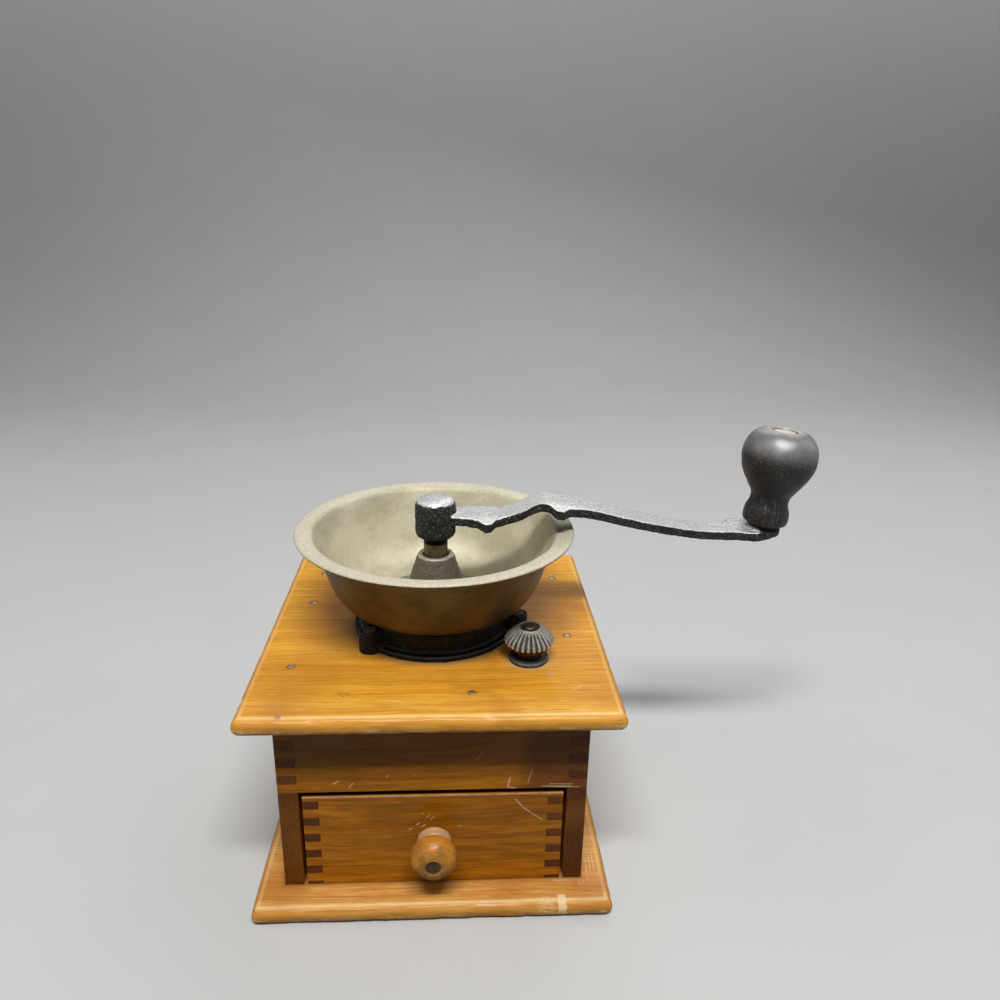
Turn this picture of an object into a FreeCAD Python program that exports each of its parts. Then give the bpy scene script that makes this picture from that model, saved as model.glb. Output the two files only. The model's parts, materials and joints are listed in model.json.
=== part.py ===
import FreeCAD, Part
import os
from math import atan2, ceil, cos, degrees, hypot, pi, radians, sin

# Antique hand crank coffee grinder: a box mill with a pewter bowl, a crank and a drawer.
# Millimetres. The origin is the centre of the base board's underside, on the crank shaft's axis.
# +Z is up, the drawer opens towards -Y and the crank arm points along +X.
V = FreeCAD.Vector
UP = V(0, 0, 1)

# clearances
running = 0.06            # radial, between a turning shaft and its bore
free_gap = 0.3            # between faces that pass or rest on each other and move
screw_gap = 0.05          # radial, around a screw, rod or bolt in its hole

# boards and case
board_overhang_side = 14.0
board_overhang_front = 17.0
board_thickness = 8.7
board_nose = 3.9          # rounding of the boards' long edges
board_corner = 3.0        # rounding of the boards' upright corners
case_width = 150.0
case_depth = 150.0
case_height = 100.1
panel_thickness = 9.5
rail_height = 43.5        # front rail above the drawer
finger = 4.95             # height of one finger of the case's joints

# drawer
drawer_side_gap = 1.8
drawer_top_gap = 3.0
drawer_back_gap = 2.5
drawer_front_thickness = 9.5
drawer_side_thickness = 7.8
drawer_finger = 4.9
drawer_top_finger = 2.3   # part finger left at the drawer's top edge
tray_thickness = 3.0
tray_groove = 3.5         # how far the bottom stands in its grooves
tray_height = 3.0         # groove above the drawer's lower edge
knob_height = 35.0        # drawer knob's axis above the floor
pull_length = 19.0
pull_radius = 11.5
pull_foot_radius = 8.6
pull_neck_radius = 6.4
pull_bolt_radius = 2.35
pull_recess_radius = 3.6

# cast body in the top board
ring_radius = 40.0
ring_height = 12.0
foot_radius = 44.5
foot_thickness = 3.0
throat_ledge = 3.0        # the step above the outer burr
burr_case_radius = 32.0
burr_case_wall = 5.0
burr_case_depth = 39.7    # below the top board's upper face
board_hole_gap = 0.5
lug_circle = 45.6
lug_radius = 5.5
lug_angles = (-137.0, -17.0, 103.0)
lug_screw_radius = 1.8
lug_screw_length = 20.0

# bowl
bowl_sheet = 1.2
bowl_floor_margin = 0.5   # flat floor outside the tower's foot
bowl_arc = 26.0           # outer radius of the rounded lower wall
bowl_arc_end = 18.0       # degrees below level where the rounded wall ends
bowl_mouth_radius = 64.4
bowl_rim_radius = 73.0
bowl_rim_height = 174.0
bowl_rim_drop = 0.8       # the rim's inner edge lies this much lower

# bearing tower in the bowl
tower_top = 157.0
tower_wall = 1.65         # around the shaft's bore at the top
tower_slope = 0.45        # radius gained per millimetre down
tower_skirt = 142.0       # lower edge of the cone
tower_boss_bottom = 134.0
tower_boss_wall = 4.05
tower_foot_step = 0.6     # the foot stands back this much from the bowl's hole
tower_foot_width = 6.4
tower_foot_thickness = 2.7
tower_leg_width = 9.0
tower_screw_angles = (-77.0, 43.0, 163.0)
small_screw_radius = 1.6

# shaft and burrs
shaft_radius = 6.35
shaft_foot_radius = 3.9
burr_seat_top = 103.0
burr_top_wall = 4.65      # iron around the shaft at the inner burr's top
burr_bottom_radius = 20.5
burr_gap = 1.2            # radial, between the two burrs
burr_grooves = 14
burr_groove_depth = 1.5
burr_pin_radius = 1.5
ring_plate = 2.5          # plate that holds the outer burr in
ring_plate_lip = 2.5      # how far the plate covers the outer burr

# grind regulator
nut_x = 47.5
nut_y = -40.5
rod_radius = 3.5
rod_bottom = 64.8
rod_top = 136.4
rod_nut_flats = 11.0
rod_nut_height = 3.0
lever_bottom = 68.5
lever_thickness = 5.0
lever_arm = 45.0          # from the pivot to the shaft
lever_half_width = 5.0
lever_eye_radius = 10.5
pivot_radius = 1.6
hanger_cheek = 2.5
bush_stem_radius = 5.2
bush_flange_radius = 8.5
bush_cup_depth = 3.0
washer_radius = 10.0
washer_thickness = 2.0
nut_radius = 12.7
nut_neck_radius = 6.6
nut_widest = 11.2         # the nut's widest line above the board
nut_height = 18.3         # the nut's top above the board
nut_flutes = 26

# crank
hub_wall = 4.5
hub_bottom = 169.3
hub_top = 190.0
hub_rounding = 4.4
hub_socket = 13.5         # depth of the shaft's socket
arm_thickness = 5.2
pad_x = 176.5             # where the knob's rivet meets the arm's top
pad_top = 173.4
pad_boss_height = 0.8
knob_lean = 5.5           # degrees that the worn rivet leans outwards
rivet_radius = 3.0
rivet_head_radius = 5.0
rivet_head_height = 2.2
knob_washer_thickness = 1.6
knob_washer_radius = 8.2
knob_length = 51.0
knob_recess_radius = 6.2
knob_recess_depth = 5.0

# nails and wood screws
nail_radius = 0.9
nail_head_radius = 1.8
nail_head_height = 0.6
nail_length = 26.0
nails_left = (29.4, -52.5, -13.0)     # from the panel's first end, or from its far end if negative
nails_right = (57.6, -21.3)
nails_front = (-56.9, 33.0)
nails_back = (39.0, -41.0)
base_screw_radius = 1.9
base_screw_length = 28.0
base_screw_inset = 20.0   # from the case's ends

# sizes, heights and faces that follow
board_width = case_width + 2 * board_overhang_side
board_depth = case_depth + 2 * board_overhang_front
throat_radius = burr_case_radius - burr_case_wall - throat_ledge
tower_foot_radius = throat_radius + tower_foot_step + tower_foot_width
bowl_floor_radius = tower_foot_radius + bowl_floor_margin
case_bottom = board_thickness
case_top = case_bottom + case_height
board_top = case_top + board_thickness
case_front = -case_depth / 2
case_back = case_depth / 2
case_inner_x = case_width / 2 - panel_thickness
rail_bottom = case_top - rail_height
drawer_half = case_inner_x - drawer_side_gap
drawer_bottom = case_bottom + free_gap
drawer_top = rail_bottom - drawer_top_gap
drawer_end = case_back - panel_thickness - drawer_back_gap
ring_top = board_top + ring_height
bowl_floor = ring_top + bowl_sheet
burr_case_bottom = board_top - burr_case_depth
burr_bottom = burr_case_bottom + 2.2
burr_top_radius = shaft_radius + burr_top_wall
ring_plate_hole = burr_case_radius - burr_case_wall - ring_plate_lip
tower_top_radius = shaft_radius + tower_wall
tower_boss_radius = shaft_radius + tower_boss_wall
hub_radius = shaft_radius + hub_wall
shaft_step = burr_case_bottom - 1.0
lever_top = lever_bottom + lever_thickness
lever_middle = lever_bottom + lever_thickness / 2
rod_reach = hypot(nut_x, nut_y)
lever_angle = degrees(atan2(nut_y, nut_x))
bush_top = lever_top + free_gap + 2.2
nut_bottom = board_top + washer_thickness + free_gap


def box(x0, x1, y0, y1, z0, z1):
    return Part.makeBox(x1 - x0, y1 - y0, z1 - z0, V(x0, y0, z0))


def rod(radius, z0, z1, x=0.0, y=0.0):
    return Part.makeCylinder(radius, z1 - z0, V(x, y, z0), UP)


def polar(radius, angle):
    return radius * cos(radians(angle)), radius * sin(radians(angle))


def turned(start, *steps):
    """A solid of revolution about Z. A step is a point (r, z), an arc (mid, end) or a curve of points."""
    edges = []
    here = V(start[0], 0, start[1])
    first = here
    for step in steps + (start,):
        if isinstance(step, list):
            curve = Part.BSplineCurve()
            points = [here] + [V(r, 0, z) for r, z in step]
            curve.interpolate(points)
            edges.append(curve.toShape())
            here = points[-1]
            continue
        if isinstance(step[0], tuple):
            mid, end = (V(r, 0, z) for r, z in step)
            edges.append(Part.Arc(here, mid, end).toShape())
            here = end
            continue
        end = first if step is start else V(step[0], 0, step[1])
        if (end - here).Length > 1e-9:
            edges.append(Part.LineSegment(here, end).toShape())
        here = end
    face = Part.Face(Part.Wire(edges))
    return face.revolve(V(0, 0, 0), UP, 360)


def at_angle(shape, angle):
    """A copy turned about the shaft's axis."""
    copy = shape.copy()
    copy.rotate(V(0, 0, 0), UP, angle)
    return copy


def moved(shape, x=0.0, y=0.0, z=0.0):
    copy = shape.copy()
    copy.translate(V(x, y, z))
    return copy


def facing_front(shape):
    """A copy of a solid turned about Z, laid down so that its +Z end faces -Y."""
    copy = shape.copy()
    copy.rotate(V(0, 0, 0), V(1, 0, 0), 90)
    return copy


def joined(shapes):
    first, *rest = shapes
    return first.fuse(rest).removeSplitter() if rest else first


def finger_spans(first, height, low, high):
    """The spans of one side's fingers, every other one, clipped to low..high."""
    spans = []
    count = ceil((high - low) / height) + 2
    for step in range(-count, count):
        span_low = max(low, first + 2 * step * height)
        span_high = min(high, first + (2 * step + 1) * height)
        if span_high - span_low > 0.5:
            spans.append((span_low, span_high))
    return spans


def finger_blocks(spans, outer, thickness, y0, y1):
    blocks = []
    for low, high in spans:
        blocks.append(box(-outer, thickness - outer, y0, y1, low, high))
        blocks.append(box(outer - thickness, outer, y0, y1, low, high))
    return blocks


# ---- fasteners

def wood_screw(radius, length, slotted, recess=0.0):
    """A countersunk screw with its head's face at z 0, pointing down, or the hole that it sits in."""
    head_radius = 1.9 * radius
    cone = head_radius - radius
    tip = 2.0 * radius
    top = 0.0 if slotted else recess
    screw = turned((0, top), (head_radius, top), (head_radius, -0.4), (radius, -0.4 - cone),
                   (radius, tip - length), (0.3, -length), (0, -length))
    if not slotted:
        return screw
    return screw.cut(box(-head_radius, head_radius, -0.35, 0.35, -0.8, 0.1))


def round_screw(radius, length):
    """A round-headed slotted screw seated at z 0, pointing down."""
    head_radius = 1.85 * radius
    head_height = 1.1 * radius
    screw = turned((0, head_height), ((0.75 * head_radius, 0.75 * head_height), (head_radius, 0)),
                   (radius, 0), (radius, -length), (0, -length))
    slot = box(-head_radius, head_radius, -0.35, 0.35, 0.45 * head_height, head_height + 0.1)
    return screw.cut(slot)


def along(length, offset):
    return offset - length / 2 if offset > 0 else offset + length / 2


def nail_places():
    side = case_width / 2 - panel_thickness / 2
    end = case_depth / 2 - panel_thickness / 2
    places = [(-side, along(case_depth, offset)) for offset in nails_left]
    places += [(side, along(case_depth, offset)) for offset in nails_right]
    places += [(along(case_width, offset), -end) for offset in nails_front]
    places += [(along(case_width, offset), end) for offset in nails_back]
    return places


def top_board_nails():
    nail = turned((0, 0), (nail_head_radius, 0), (nail_head_radius, -nail_head_height),
                  (nail_radius, -nail_head_height), (nail_radius, 2 - nail_length),
                  (0.2, -nail_length), (0, -nail_length))
    return [moved(nail, x, y, board_top) for x, y in nail_places()]


def base_screws(slotted=True):
    screw = wood_screw(base_screw_radius, base_screw_length, slotted, free_gap)
    screw.rotate(V(0, 0, 0), V(1, 0, 0), 180)
    side = case_width / 2 - panel_thickness / 2
    end = case_depth / 2 - base_screw_inset
    return [moved(screw, x, y, free_gap) for x in (-side, side) for y in (-end, end)]


def body_screws(slotted=True):
    screw = wood_screw(lug_screw_radius, lug_screw_length, slotted)
    return [moved(at_angle(screw, 25 * n), *polar(lug_circle, a), ring_top)
            for n, a in enumerate(lug_angles)]


def hopper_screws():
    screw = round_screw(small_screw_radius, tower_foot_thickness + bowl_sheet + 8)
    radius = tower_foot_radius - tower_foot_width / 2
    top = bowl_floor + tower_foot_thickness
    return [moved(at_angle(screw, 40 * n), *polar(radius, a), top)
            for n, a in enumerate(tower_screw_angles)]


def burr_plate_screws():
    screw = round_screw(small_screw_radius, ring_plate + 6)
    screw.rotate(V(0, 0, 0), V(1, 0, 0), 180)
    radius = burr_case_radius - burr_case_wall / 2
    low = burr_case_bottom - ring_plate
    return [moved(screw, *polar(radius, lever_angle + 90 + 120 * n), low) for n in range(3)]


# ---- case

def board(low):
    plate = box(-board_width / 2, board_width / 2, -board_depth / 2, board_depth / 2,
                low, low + board_thickness)
    upright = [e for e in plate.Edges if abs(e.tangentAt(e.FirstParameter).z) > 0.9]
    plate = plate.makeFillet(board_corner, upright)
    rims = [e for e in plate.Edges if abs(e.BoundBox.ZLength) < 0.01]
    return plate.makeFillet(min(board_nose, board_thickness * 0.48), rims)


def base_board(screws):
    return board(0.0).cut(screws)


def top_board(nails, screws):
    holes = [rod(burr_case_radius + board_hole_gap, case_top - 1, board_top + 1),
             rod(rod_radius + screw_gap * 6, case_top - 1, board_top + 1, nut_x, nut_y)]
    return board(case_top).cut(holes + nails + screws)


def rail_fingers():
    spans = finger_spans(rail_bottom + finger, finger, rail_bottom, case_top)
    return finger_blocks(spans, case_width / 2, panel_thickness, case_front,
                         case_front + panel_thickness)


def back_fingers():
    spans = finger_spans(rail_bottom + finger, finger, case_bottom, case_top)
    return finger_blocks(spans, case_width / 2, panel_thickness, case_back - panel_thickness,
                         case_back)


def front_rail_blank():
    rail = box(-case_width / 2, case_width / 2, case_front, case_front + panel_thickness,
               rail_bottom, case_top)
    return rail.cut(rail_fingers())


def back_panel_blank():
    panel = box(-case_width / 2, case_width / 2, case_back - panel_thickness, case_back,
                case_bottom, case_top)
    return panel.cut(back_fingers())


def side_panel(side, nails, screws):
    outer = case_width / 2
    low, high = sorted((side * outer, side * (outer - panel_thickness)))
    panel = box(low, high, case_front, case_back, case_bottom, case_top)
    return panel.cut([front_rail_blank(), back_panel_blank()] + nails + screws)


# ---- drawer

def drawer_spans():
    first = drawer_top - drawer_top_finger - drawer_finger
    return finger_spans(first, drawer_finger, drawer_bottom, drawer_top)


def drawer_tray():
    reach = drawer_half - drawer_side_thickness + tray_groove
    low = drawer_bottom + tray_height
    return box(-reach, reach, case_front + drawer_front_thickness - tray_groove,
               drawer_end - drawer_side_thickness + tray_groove, low, low + tray_thickness)


def drawer_wall(y0, y1):
    wall = box(-drawer_half, drawer_half, y0, y1, drawer_bottom, drawer_top)
    return wall.cut(finger_blocks(drawer_spans(), drawer_half, drawer_side_thickness, y0, y1))


def drawer_front():
    wall = drawer_wall(case_front, case_front + drawer_front_thickness)
    hole = facing_front(rod(pull_bolt_radius + screw_gap, -200, 200))
    return wall.cut([moved(hole, 0, 0, knob_height), drawer_tray()])


def drawer_back():
    return drawer_wall(drawer_end - drawer_side_thickness, drawer_end).cut(drawer_tray())


def drawer_side(side):
    low, high = sorted((side * drawer_half, side * (drawer_half - drawer_side_thickness)))
    wall = box(low, high, case_front, drawer_end, drawer_bottom, drawer_top)
    front = drawer_wall(case_front, case_front + drawer_front_thickness)
    back = drawer_wall(drawer_end - drawer_side_thickness, drawer_end)
    return wall.cut([front, back, drawer_tray()])


def on_drawer_front(shape):
    return moved(facing_front(shape), 0, case_front, knob_height)


def drawer_knob():
    neck_z = 0.24 * pull_length
    widest_z = 0.6 * pull_length
    bore = pull_bolt_radius + screw_gap
    knob = turned((bore, 0), (pull_foot_radius, 0), (pull_foot_radius, 1.4),
                  ((pull_neck_radius + 0.5, 0.16 * pull_length), (pull_neck_radius, neck_z)),
                  ((0.86 * pull_radius, 0.36 * pull_length), (pull_radius, widest_z)),
                  ((0.82 * pull_radius, 0.88 * pull_length), (pull_recess_radius + 0.6, pull_length)),
                  (pull_recess_radius, pull_length - 0.6), (bore, pull_length - 0.6))
    return on_drawer_front(knob)


def drawer_knob_bolt():
    head_face = -drawer_front_thickness - 1.0
    bolt = turned((0, pull_length - 0.9), (pull_bolt_radius, pull_length - 0.9),
                  (pull_bolt_radius, head_face), (4.4, head_face),
                  ((3.6, head_face - 1.9), (0, head_face - 2.6)))
    slot = box(-5, 5, -0.45, 0.45, head_face - 3, head_face - 1.4)
    return on_drawer_front(bolt.cut(slot))


def drawer_knob_washer():
    disc = rod(5.6, -drawer_front_thickness - 1.0, -drawer_front_thickness)
    hole = rod(pull_bolt_radius + screw_gap, -drawer_front_thickness - 2, 0)
    return on_drawer_front(disc.cut(hole))


# ---- cast body, bowl and tower

def grinder_body(screws):
    inner = burr_case_radius - burr_case_wall
    body = turned((throat_radius, ring_top), (ring_radius, ring_top),
                  (ring_radius, board_top + foot_thickness), (foot_radius, board_top + foot_thickness),
                  (foot_radius, board_top), (burr_case_radius, board_top),
                  (burr_case_radius, burr_case_bottom), (inner, burr_case_bottom),
                  (inner, burr_seat_top), (throat_radius, burr_seat_top))
    lugs = []
    for angle in lug_angles:
        x, y = polar(lug_circle, angle)
        web = box(ring_radius - 2, lug_circle, -lug_radius, lug_radius, board_top, ring_top)
        lugs.append(rod(lug_radius, board_top, ring_top, x, y))
        lugs.append(at_angle(web, angle))
    return joined([body] + lugs).cut(screws)


def bowl_profile(offset):
    """The end points of the rounded wall, offset inwards."""
    radius = bowl_arc - offset
    middle_z = ring_top + bowl_arc
    end = radians(-bowl_arc_end)
    half = radians((-90 - bowl_arc_end) / 2)
    mid_point = (bowl_floor_radius + radius * cos(half), middle_z + radius * sin(half))
    end_point = (bowl_floor_radius + radius * cos(end), middle_z + radius * sin(end))
    return mid_point, end_point


def hopper_bowl(screws):
    mouth_z = bowl_rim_height - bowl_rim_drop
    bead = bowl_sheet / 2 + 0.3
    rim_middle = bowl_rim_height - bead
    rim_inner = bowl_rim_radius - bead
    bowl = turned((throat_radius, ring_top), (bowl_floor_radius, ring_top), bowl_profile(0),
                  (bowl_mouth_radius + 0.1, mouth_z - bowl_sheet), (rim_inner, rim_middle - bead),
                  ((bowl_rim_radius, rim_middle), (rim_inner, bowl_rim_height)),
                  (bowl_mouth_radius, mouth_z), bowl_profile(bowl_sheet)[1],
                  (bowl_profile(bowl_sheet)[0], (bowl_floor_radius, bowl_floor)),
                  (throat_radius, bowl_floor))
    return bowl.cut(screws)


def bearing_tower(screws):
    bore = shaft_radius + running
    skirt_radius = tower_top_radius + tower_slope * (tower_top - tower_skirt)
    cone = turned((bore, tower_top), (tower_top_radius - 0.8, tower_top),
                  (tower_top_radius, tower_top - 0.8), (skirt_radius, tower_skirt),
                  (tower_boss_radius, tower_skirt - 3.0), (tower_boss_radius, tower_boss_bottom),
                  (bore, tower_boss_bottom))
    outer = tower_foot_radius
    inner = outer - tower_foot_width
    top = bowl_floor + tower_foot_thickness
    foot = rod(outer, bowl_floor, top).cut(rod(inner, bowl_floor - 1, top + 1))
    points = [(bore + 1.5, tower_boss_bottom + 1), (bore + 1.5, tower_skirt - 0.5),
              (skirt_radius - 1, tower_skirt - 0.2), (skirt_radius + 3.5, tower_skirt - 2.5),
              (outer - 1.5, top), (outer - 1.5, bowl_floor), (inner - 0.5, bowl_floor),
              (skirt_radius - 1, tower_boss_bottom + 1.5)]
    corners = [V(r, -tower_leg_width / 2, z) for r, z in points]
    leg = Part.Face(Part.makePolygon(corners + corners[:1])).extrude(V(0, tower_leg_width, 0))
    legs = [at_angle(leg, angle) for angle in lug_angles]
    return joined([cone, foot] + legs).cut(screws)


# ---- burrs and shaft

def burr_grooves_at(top_radius, bottom_radius, z0, z1, depth, skew):
    """V-shaped grooves along a cone, each turned by skew between its ends."""
    grooves = []
    for n in range(burr_grooves):
        ends = []
        for radius, z, turn in ((bottom_radius, z0 - 1, 0.0), (top_radius, z1 + 1, skew)):
            angle = 360.0 * n / burr_grooves + turn
            half = 0.34 * 360.0 / burr_grooves
            inside = V(*polar(radius - depth, angle), z)
            left = V(*polar(radius + depth, angle - half), z)
            right = V(*polar(radius + depth, angle + half), z)
            ends.append(Part.makePolygon([inside, left, right, inside]))
        grooves.append(Part.makeLoft(ends, True, True))
    return grooves


def inner_burr(pin):
    low = burr_bottom
    high = burr_seat_top - 1.5
    cone = turned((shaft_radius + screw_gap, low), (burr_bottom_radius, low),
                  (burr_top_radius, high), (shaft_radius + screw_gap, high))
    grooves = burr_grooves_at(burr_top_radius, burr_bottom_radius, low, high, burr_groove_depth, 24.0)
    return cone.cut(grooves).cut(pin)


def outer_burr():
    low = burr_case_bottom
    slope = (burr_bottom_radius - burr_top_radius) / (burr_seat_top - 1.5 - burr_bottom)
    top_hole = burr_top_radius + burr_gap - 1.5 * slope
    bottom_hole = burr_bottom_radius + burr_gap + (burr_bottom - low) * slope
    outer = burr_case_radius - burr_case_wall - screw_gap
    ring = turned((bottom_hole, low), (outer, low), (outer, burr_seat_top), (top_hole, burr_seat_top))
    grooves = burr_grooves_at(top_hole, bottom_hole, low, burr_seat_top, -burr_groove_depth, -20.0)
    return ring.cut(grooves)


def burr_pin():
    length = 2 * burr_bottom_radius - 8
    return Part.makeCylinder(burr_pin_radius, length, V(-length / 2, 0, burr_bottom + 5), V(1, 0, 0))


def burr_plate(screws):
    low = burr_case_bottom - ring_plate
    plate = rod(burr_case_radius, low, burr_case_bottom)
    return plate.cut([rod(ring_plate_hole, low - 1, burr_case_bottom + 1)] + screws)


def crank_shaft(pin):
    foot = bush_top - bush_cup_depth + free_gap
    top = hub_bottom + hub_socket
    shaft = turned((0, foot), (shaft_foot_radius - 0.8, foot), (shaft_foot_radius, foot + 0.8),
                   (shaft_foot_radius, shaft_step), (shaft_radius - 0.6, shaft_step),
                   (shaft_radius, shaft_step + 0.6), (shaft_radius, top - 0.8),
                   (shaft_radius - 0.8, top), (0, top))
    return shaft.cut(pin)


# ---- grind regulator

def along_lever(shape):
    """From the lever's own frame, +X from the shaft to the rod, to the mill's."""
    return at_angle(shape, lever_angle)


def lever_pivot_pin():
    length = 2 * (lever_half_width + free_gap + hanger_cheek) + 1.0
    return along_lever(Part.makeCylinder(pivot_radius, length, V(-lever_arm, -length / 2, lever_middle),
                                         V(0, 1, 0)))


def regulator_lever():
    end = lever_half_width
    bar = box(-lever_arm, rod_reach, -end, end, lever_bottom, lever_top)
    pivot_eye = Part.makeCylinder(end, lever_thickness, V(-lever_arm, 0, lever_bottom), UP)
    middle_eye = rod(lever_eye_radius, lever_bottom, lever_top)
    rod_eye = rod(1.7 * end, lever_bottom, lever_top, rod_reach, 0)
    lever = joined([bar, pivot_eye, middle_eye, rod_eye])
    pivot_hole = Part.makeCylinder(pivot_radius + running, 4 * end, V(-lever_arm, -2 * end, lever_middle),
                                   V(0, 1, 0))
    holes = [pivot_hole, rod(bush_stem_radius + 0.4, lever_bottom - 1, lever_top + 1),
             rod(rod_radius + 0.7, lever_bottom - 1, lever_top + 1, rod_reach, 0)]
    return along_lever(lever.cut(holes))


def hanger_screws():
    screw = round_screw(small_screw_radius, board_thickness - 1.5)
    screw.rotate(V(0, 0, 0), V(1, 0, 0), 180)
    side = lever_half_width + free_gap + hanger_cheek + 5.0
    return [along_lever(moved(screw, -lever_arm, y, case_top - hanger_cheek)) for y in (-side, side)]


def lever_hanger(screws, pin):
    inner = lever_half_width + free_gap
    outer = inner + hanger_cheek
    x0 = -lever_arm - 5
    x1 = -lever_arm + 5
    plate = box(x0, x1, -outer - 9, outer + 9, case_top - hanger_cheek, case_top)
    cheeks = [box(x0, x1, *sorted((s * inner, s * outer)), lever_middle - 4.5, case_top)
              for s in (-1, 1)]
    return along_lever(joined([plate] + cheeks)).cut(screws + [pin])


def thrust_bush():
    stem_bottom = lever_bottom + 1.0
    flange = lever_top + free_gap
    cup = shaft_foot_radius + free_gap
    return turned((0, stem_bottom), (bush_stem_radius, stem_bottom), (bush_stem_radius, flange),
                  (bush_flange_radius, flange), (bush_flange_radius, bush_top), (cup, bush_top),
                  (cup, bush_top - bush_cup_depth), (0, bush_top - bush_cup_depth))


def regulating_rod():
    chamfer = 0.7
    shape = turned((0, rod_bottom), (rod_radius - chamfer, rod_bottom), (rod_radius, rod_bottom + chamfer),
                   (rod_radius, rod_top - chamfer), (rod_radius - chamfer, rod_top), (0, rod_top))
    return moved(shape, nut_x, nut_y)


def rod_foot_nut():
    top = lever_bottom - free_gap
    corner = rod_nut_flats / 2 / cos(pi / 6)
    corners = [V(corner * cos(pi / 3 * n), corner * sin(pi / 3 * n), top - rod_nut_height)
               for n in range(6)]
    nut = Part.Face(Part.makePolygon(corners + corners[:1])).extrude(V(0, 0, rod_nut_height))
    hole = rod(rod_radius + screw_gap, top - rod_nut_height - 1, top + 1)
    return moved(nut.cut(hole), nut_x, nut_y)


def regulating_washer():
    disc = turned((rod_radius + 0.4, board_top), (washer_radius, board_top),
                  (washer_radius, board_top + washer_thickness - 0.5),
                  (washer_radius - 0.5, board_top + washer_thickness),
                  (rod_radius + 0.4, board_top + washer_thickness))
    return moved(disc, nut_x, nut_y)


def regulating_nut():
    bore = rod_radius + running
    widest = board_top + nut_widest
    top = board_top + nut_height
    nut = turned((bore, nut_bottom), (nut_neck_radius, nut_bottom), (nut_neck_radius, nut_bottom + 1.6),
                 (nut_radius - 0.8, widest - 1.6), ((nut_radius, widest - 0.5), (nut_radius - 0.5, widest + 0.9)),
                 ((0.72 * nut_radius, widest + 4.6), (bore + 2.2, top)), (bore + 0.6, top - 0.8),
                 (bore, top - 1.4))
    flutes = []
    start = V(nut_radius + 0.9, 0, widest - 0.2)
    run = V(bore + 3.2 - start.x, 0, top + 0.6 - start.z)
    flute = Part.makeCylinder(0.85, run.Length, start, run)
    for n in range(nut_flutes):
        flutes.append(at_angle(flute, 360.0 * n / nut_flutes))
    return moved(nut.cut(flutes), nut_x, nut_y)


# ---- crank

def leaning(shape):
    """From the knob's own frame, with z 0 on the arm's boss, to its place on the leaning rivet."""
    copy = shape.copy()
    copy.rotate(V(0, 0, 0), V(0, 1, 0), knob_lean)
    copy.translate(V(pad_x, 0, pad_top + pad_boss_height))
    return copy


def arm_side():
    """The arm seen from the front: a swan-necked strip, extruded across."""
    top = [(7, 180.6), (22, 180.8), (34, 180.6), (44, 183.4), (51, 188.2), (57, 190.2), (64, 189.6),
           (80, 186.6), (98, 181.8), (119, 177.2), (142, 173.6), (160, pad_top), (187, pad_top)]
    low = [(x, z - arm_thickness) for x, z in reversed(top)]
    edges = []
    for points in (top, low):
        curve = Part.BSplineCurve()
        curve.interpolate([V(x, -30, z) for x, z in points])
        edges.append(curve.toShape())
    edges.append(Part.LineSegment(edges[0].Vertexes[-1].Point, edges[1].Vertexes[0].Point).toShape())
    edges.append(Part.LineSegment(edges[1].Vertexes[-1].Point, edges[0].Vertexes[0].Point).toShape())
    return Part.Face(Part.Wire(Part.__sortEdges__(edges))).extrude(V(0, 60, 0))


def arm_plan():
    """The arm seen from above: two pairs of cusps, a tapering bar and a pad, extruded up."""
    half = [(5, 9.6), (17, 10.2), (22, 11.4), (25.5, 14.2), (28.5, 14.0), (31.5, 10.6), (36, 9.4), (41, 8.8),
            (48, 9.3), (55, 9.0), (59, 10.6), (62, 14.4), (66, 14.6), (69.5, 12.0), (78, 10.2), (88, 9.0),
            (110, 8.4), (131, 7.8), (150, 7.2)]
    near = [(x, -y) for x, y in half] + [(160, -7.6), (172, -10.2), (175.5, -9.4)]
    end = [(183.0, -4.0), (185.0, 0.5), (184.0, 6.0), (180.0, 11.0), (175.0, 13.2)]
    far = [(161.0, 13.8), (159.6, 13.0), (158.6, 8.6), (156.5, 7.3)] + list(reversed(half))
    points = [V(x, y, 150) for x, y in near + end + far]
    return Part.Face(Part.makePolygon(points + points[:1])).extrude(V(0, 0, 60))


def crank_arm(rivet):
    arm = arm_side().common(arm_plan())
    hub = turned((0, hub_bottom), (hub_radius - 2.4, hub_bottom),
                 ((hub_radius - 0.7, hub_bottom + 0.7), (hub_radius, hub_bottom + 2.4)),
                 (hub_radius, hub_top - hub_rounding),
                 ((hub_radius - 0.29 * hub_rounding, hub_top - 0.29 * hub_rounding),
                  (hub_radius - hub_rounding, hub_top)), (0, hub_top))
    boss = leaning(rod(knob_washer_radius + 0.8, -arm_thickness + 1.0, 0))
    socket = rod(shaft_radius + screw_gap, hub_bottom - 1, hub_bottom + hub_socket + 0.2)
    return joined([arm, hub, boss]).cut([socket, rivet])


def knob_washer():
    disc = rod(knob_washer_radius, 0, knob_washer_thickness)
    return leaning(disc.cut(rod(rivet_radius + screw_gap, -1, knob_washer_thickness + 1)))


def knob_base():
    return knob_washer_thickness + free_gap


def knob_rivet():
    head = knob_base() + knob_length - knob_recess_depth + free_gap
    under = -pad_boss_height - arm_thickness - 0.5
    flat = 0.3 * rivet_head_radius
    rivet = turned((0, under - 1.6), (flat, under - 1.6),
                   ((0.75 * rivet_head_radius, under - 1.1), (rivet_head_radius, under)),
                   (rivet_radius, under), (rivet_radius, head), (rivet_head_radius, head),
                   (rivet_head_radius, head + 0.5),
                   ((0.75 * rivet_head_radius, head + 1.6), (flat, head + rivet_head_height)),
                   (0, head + rivet_head_height))
    return leaning(rivet)


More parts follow.
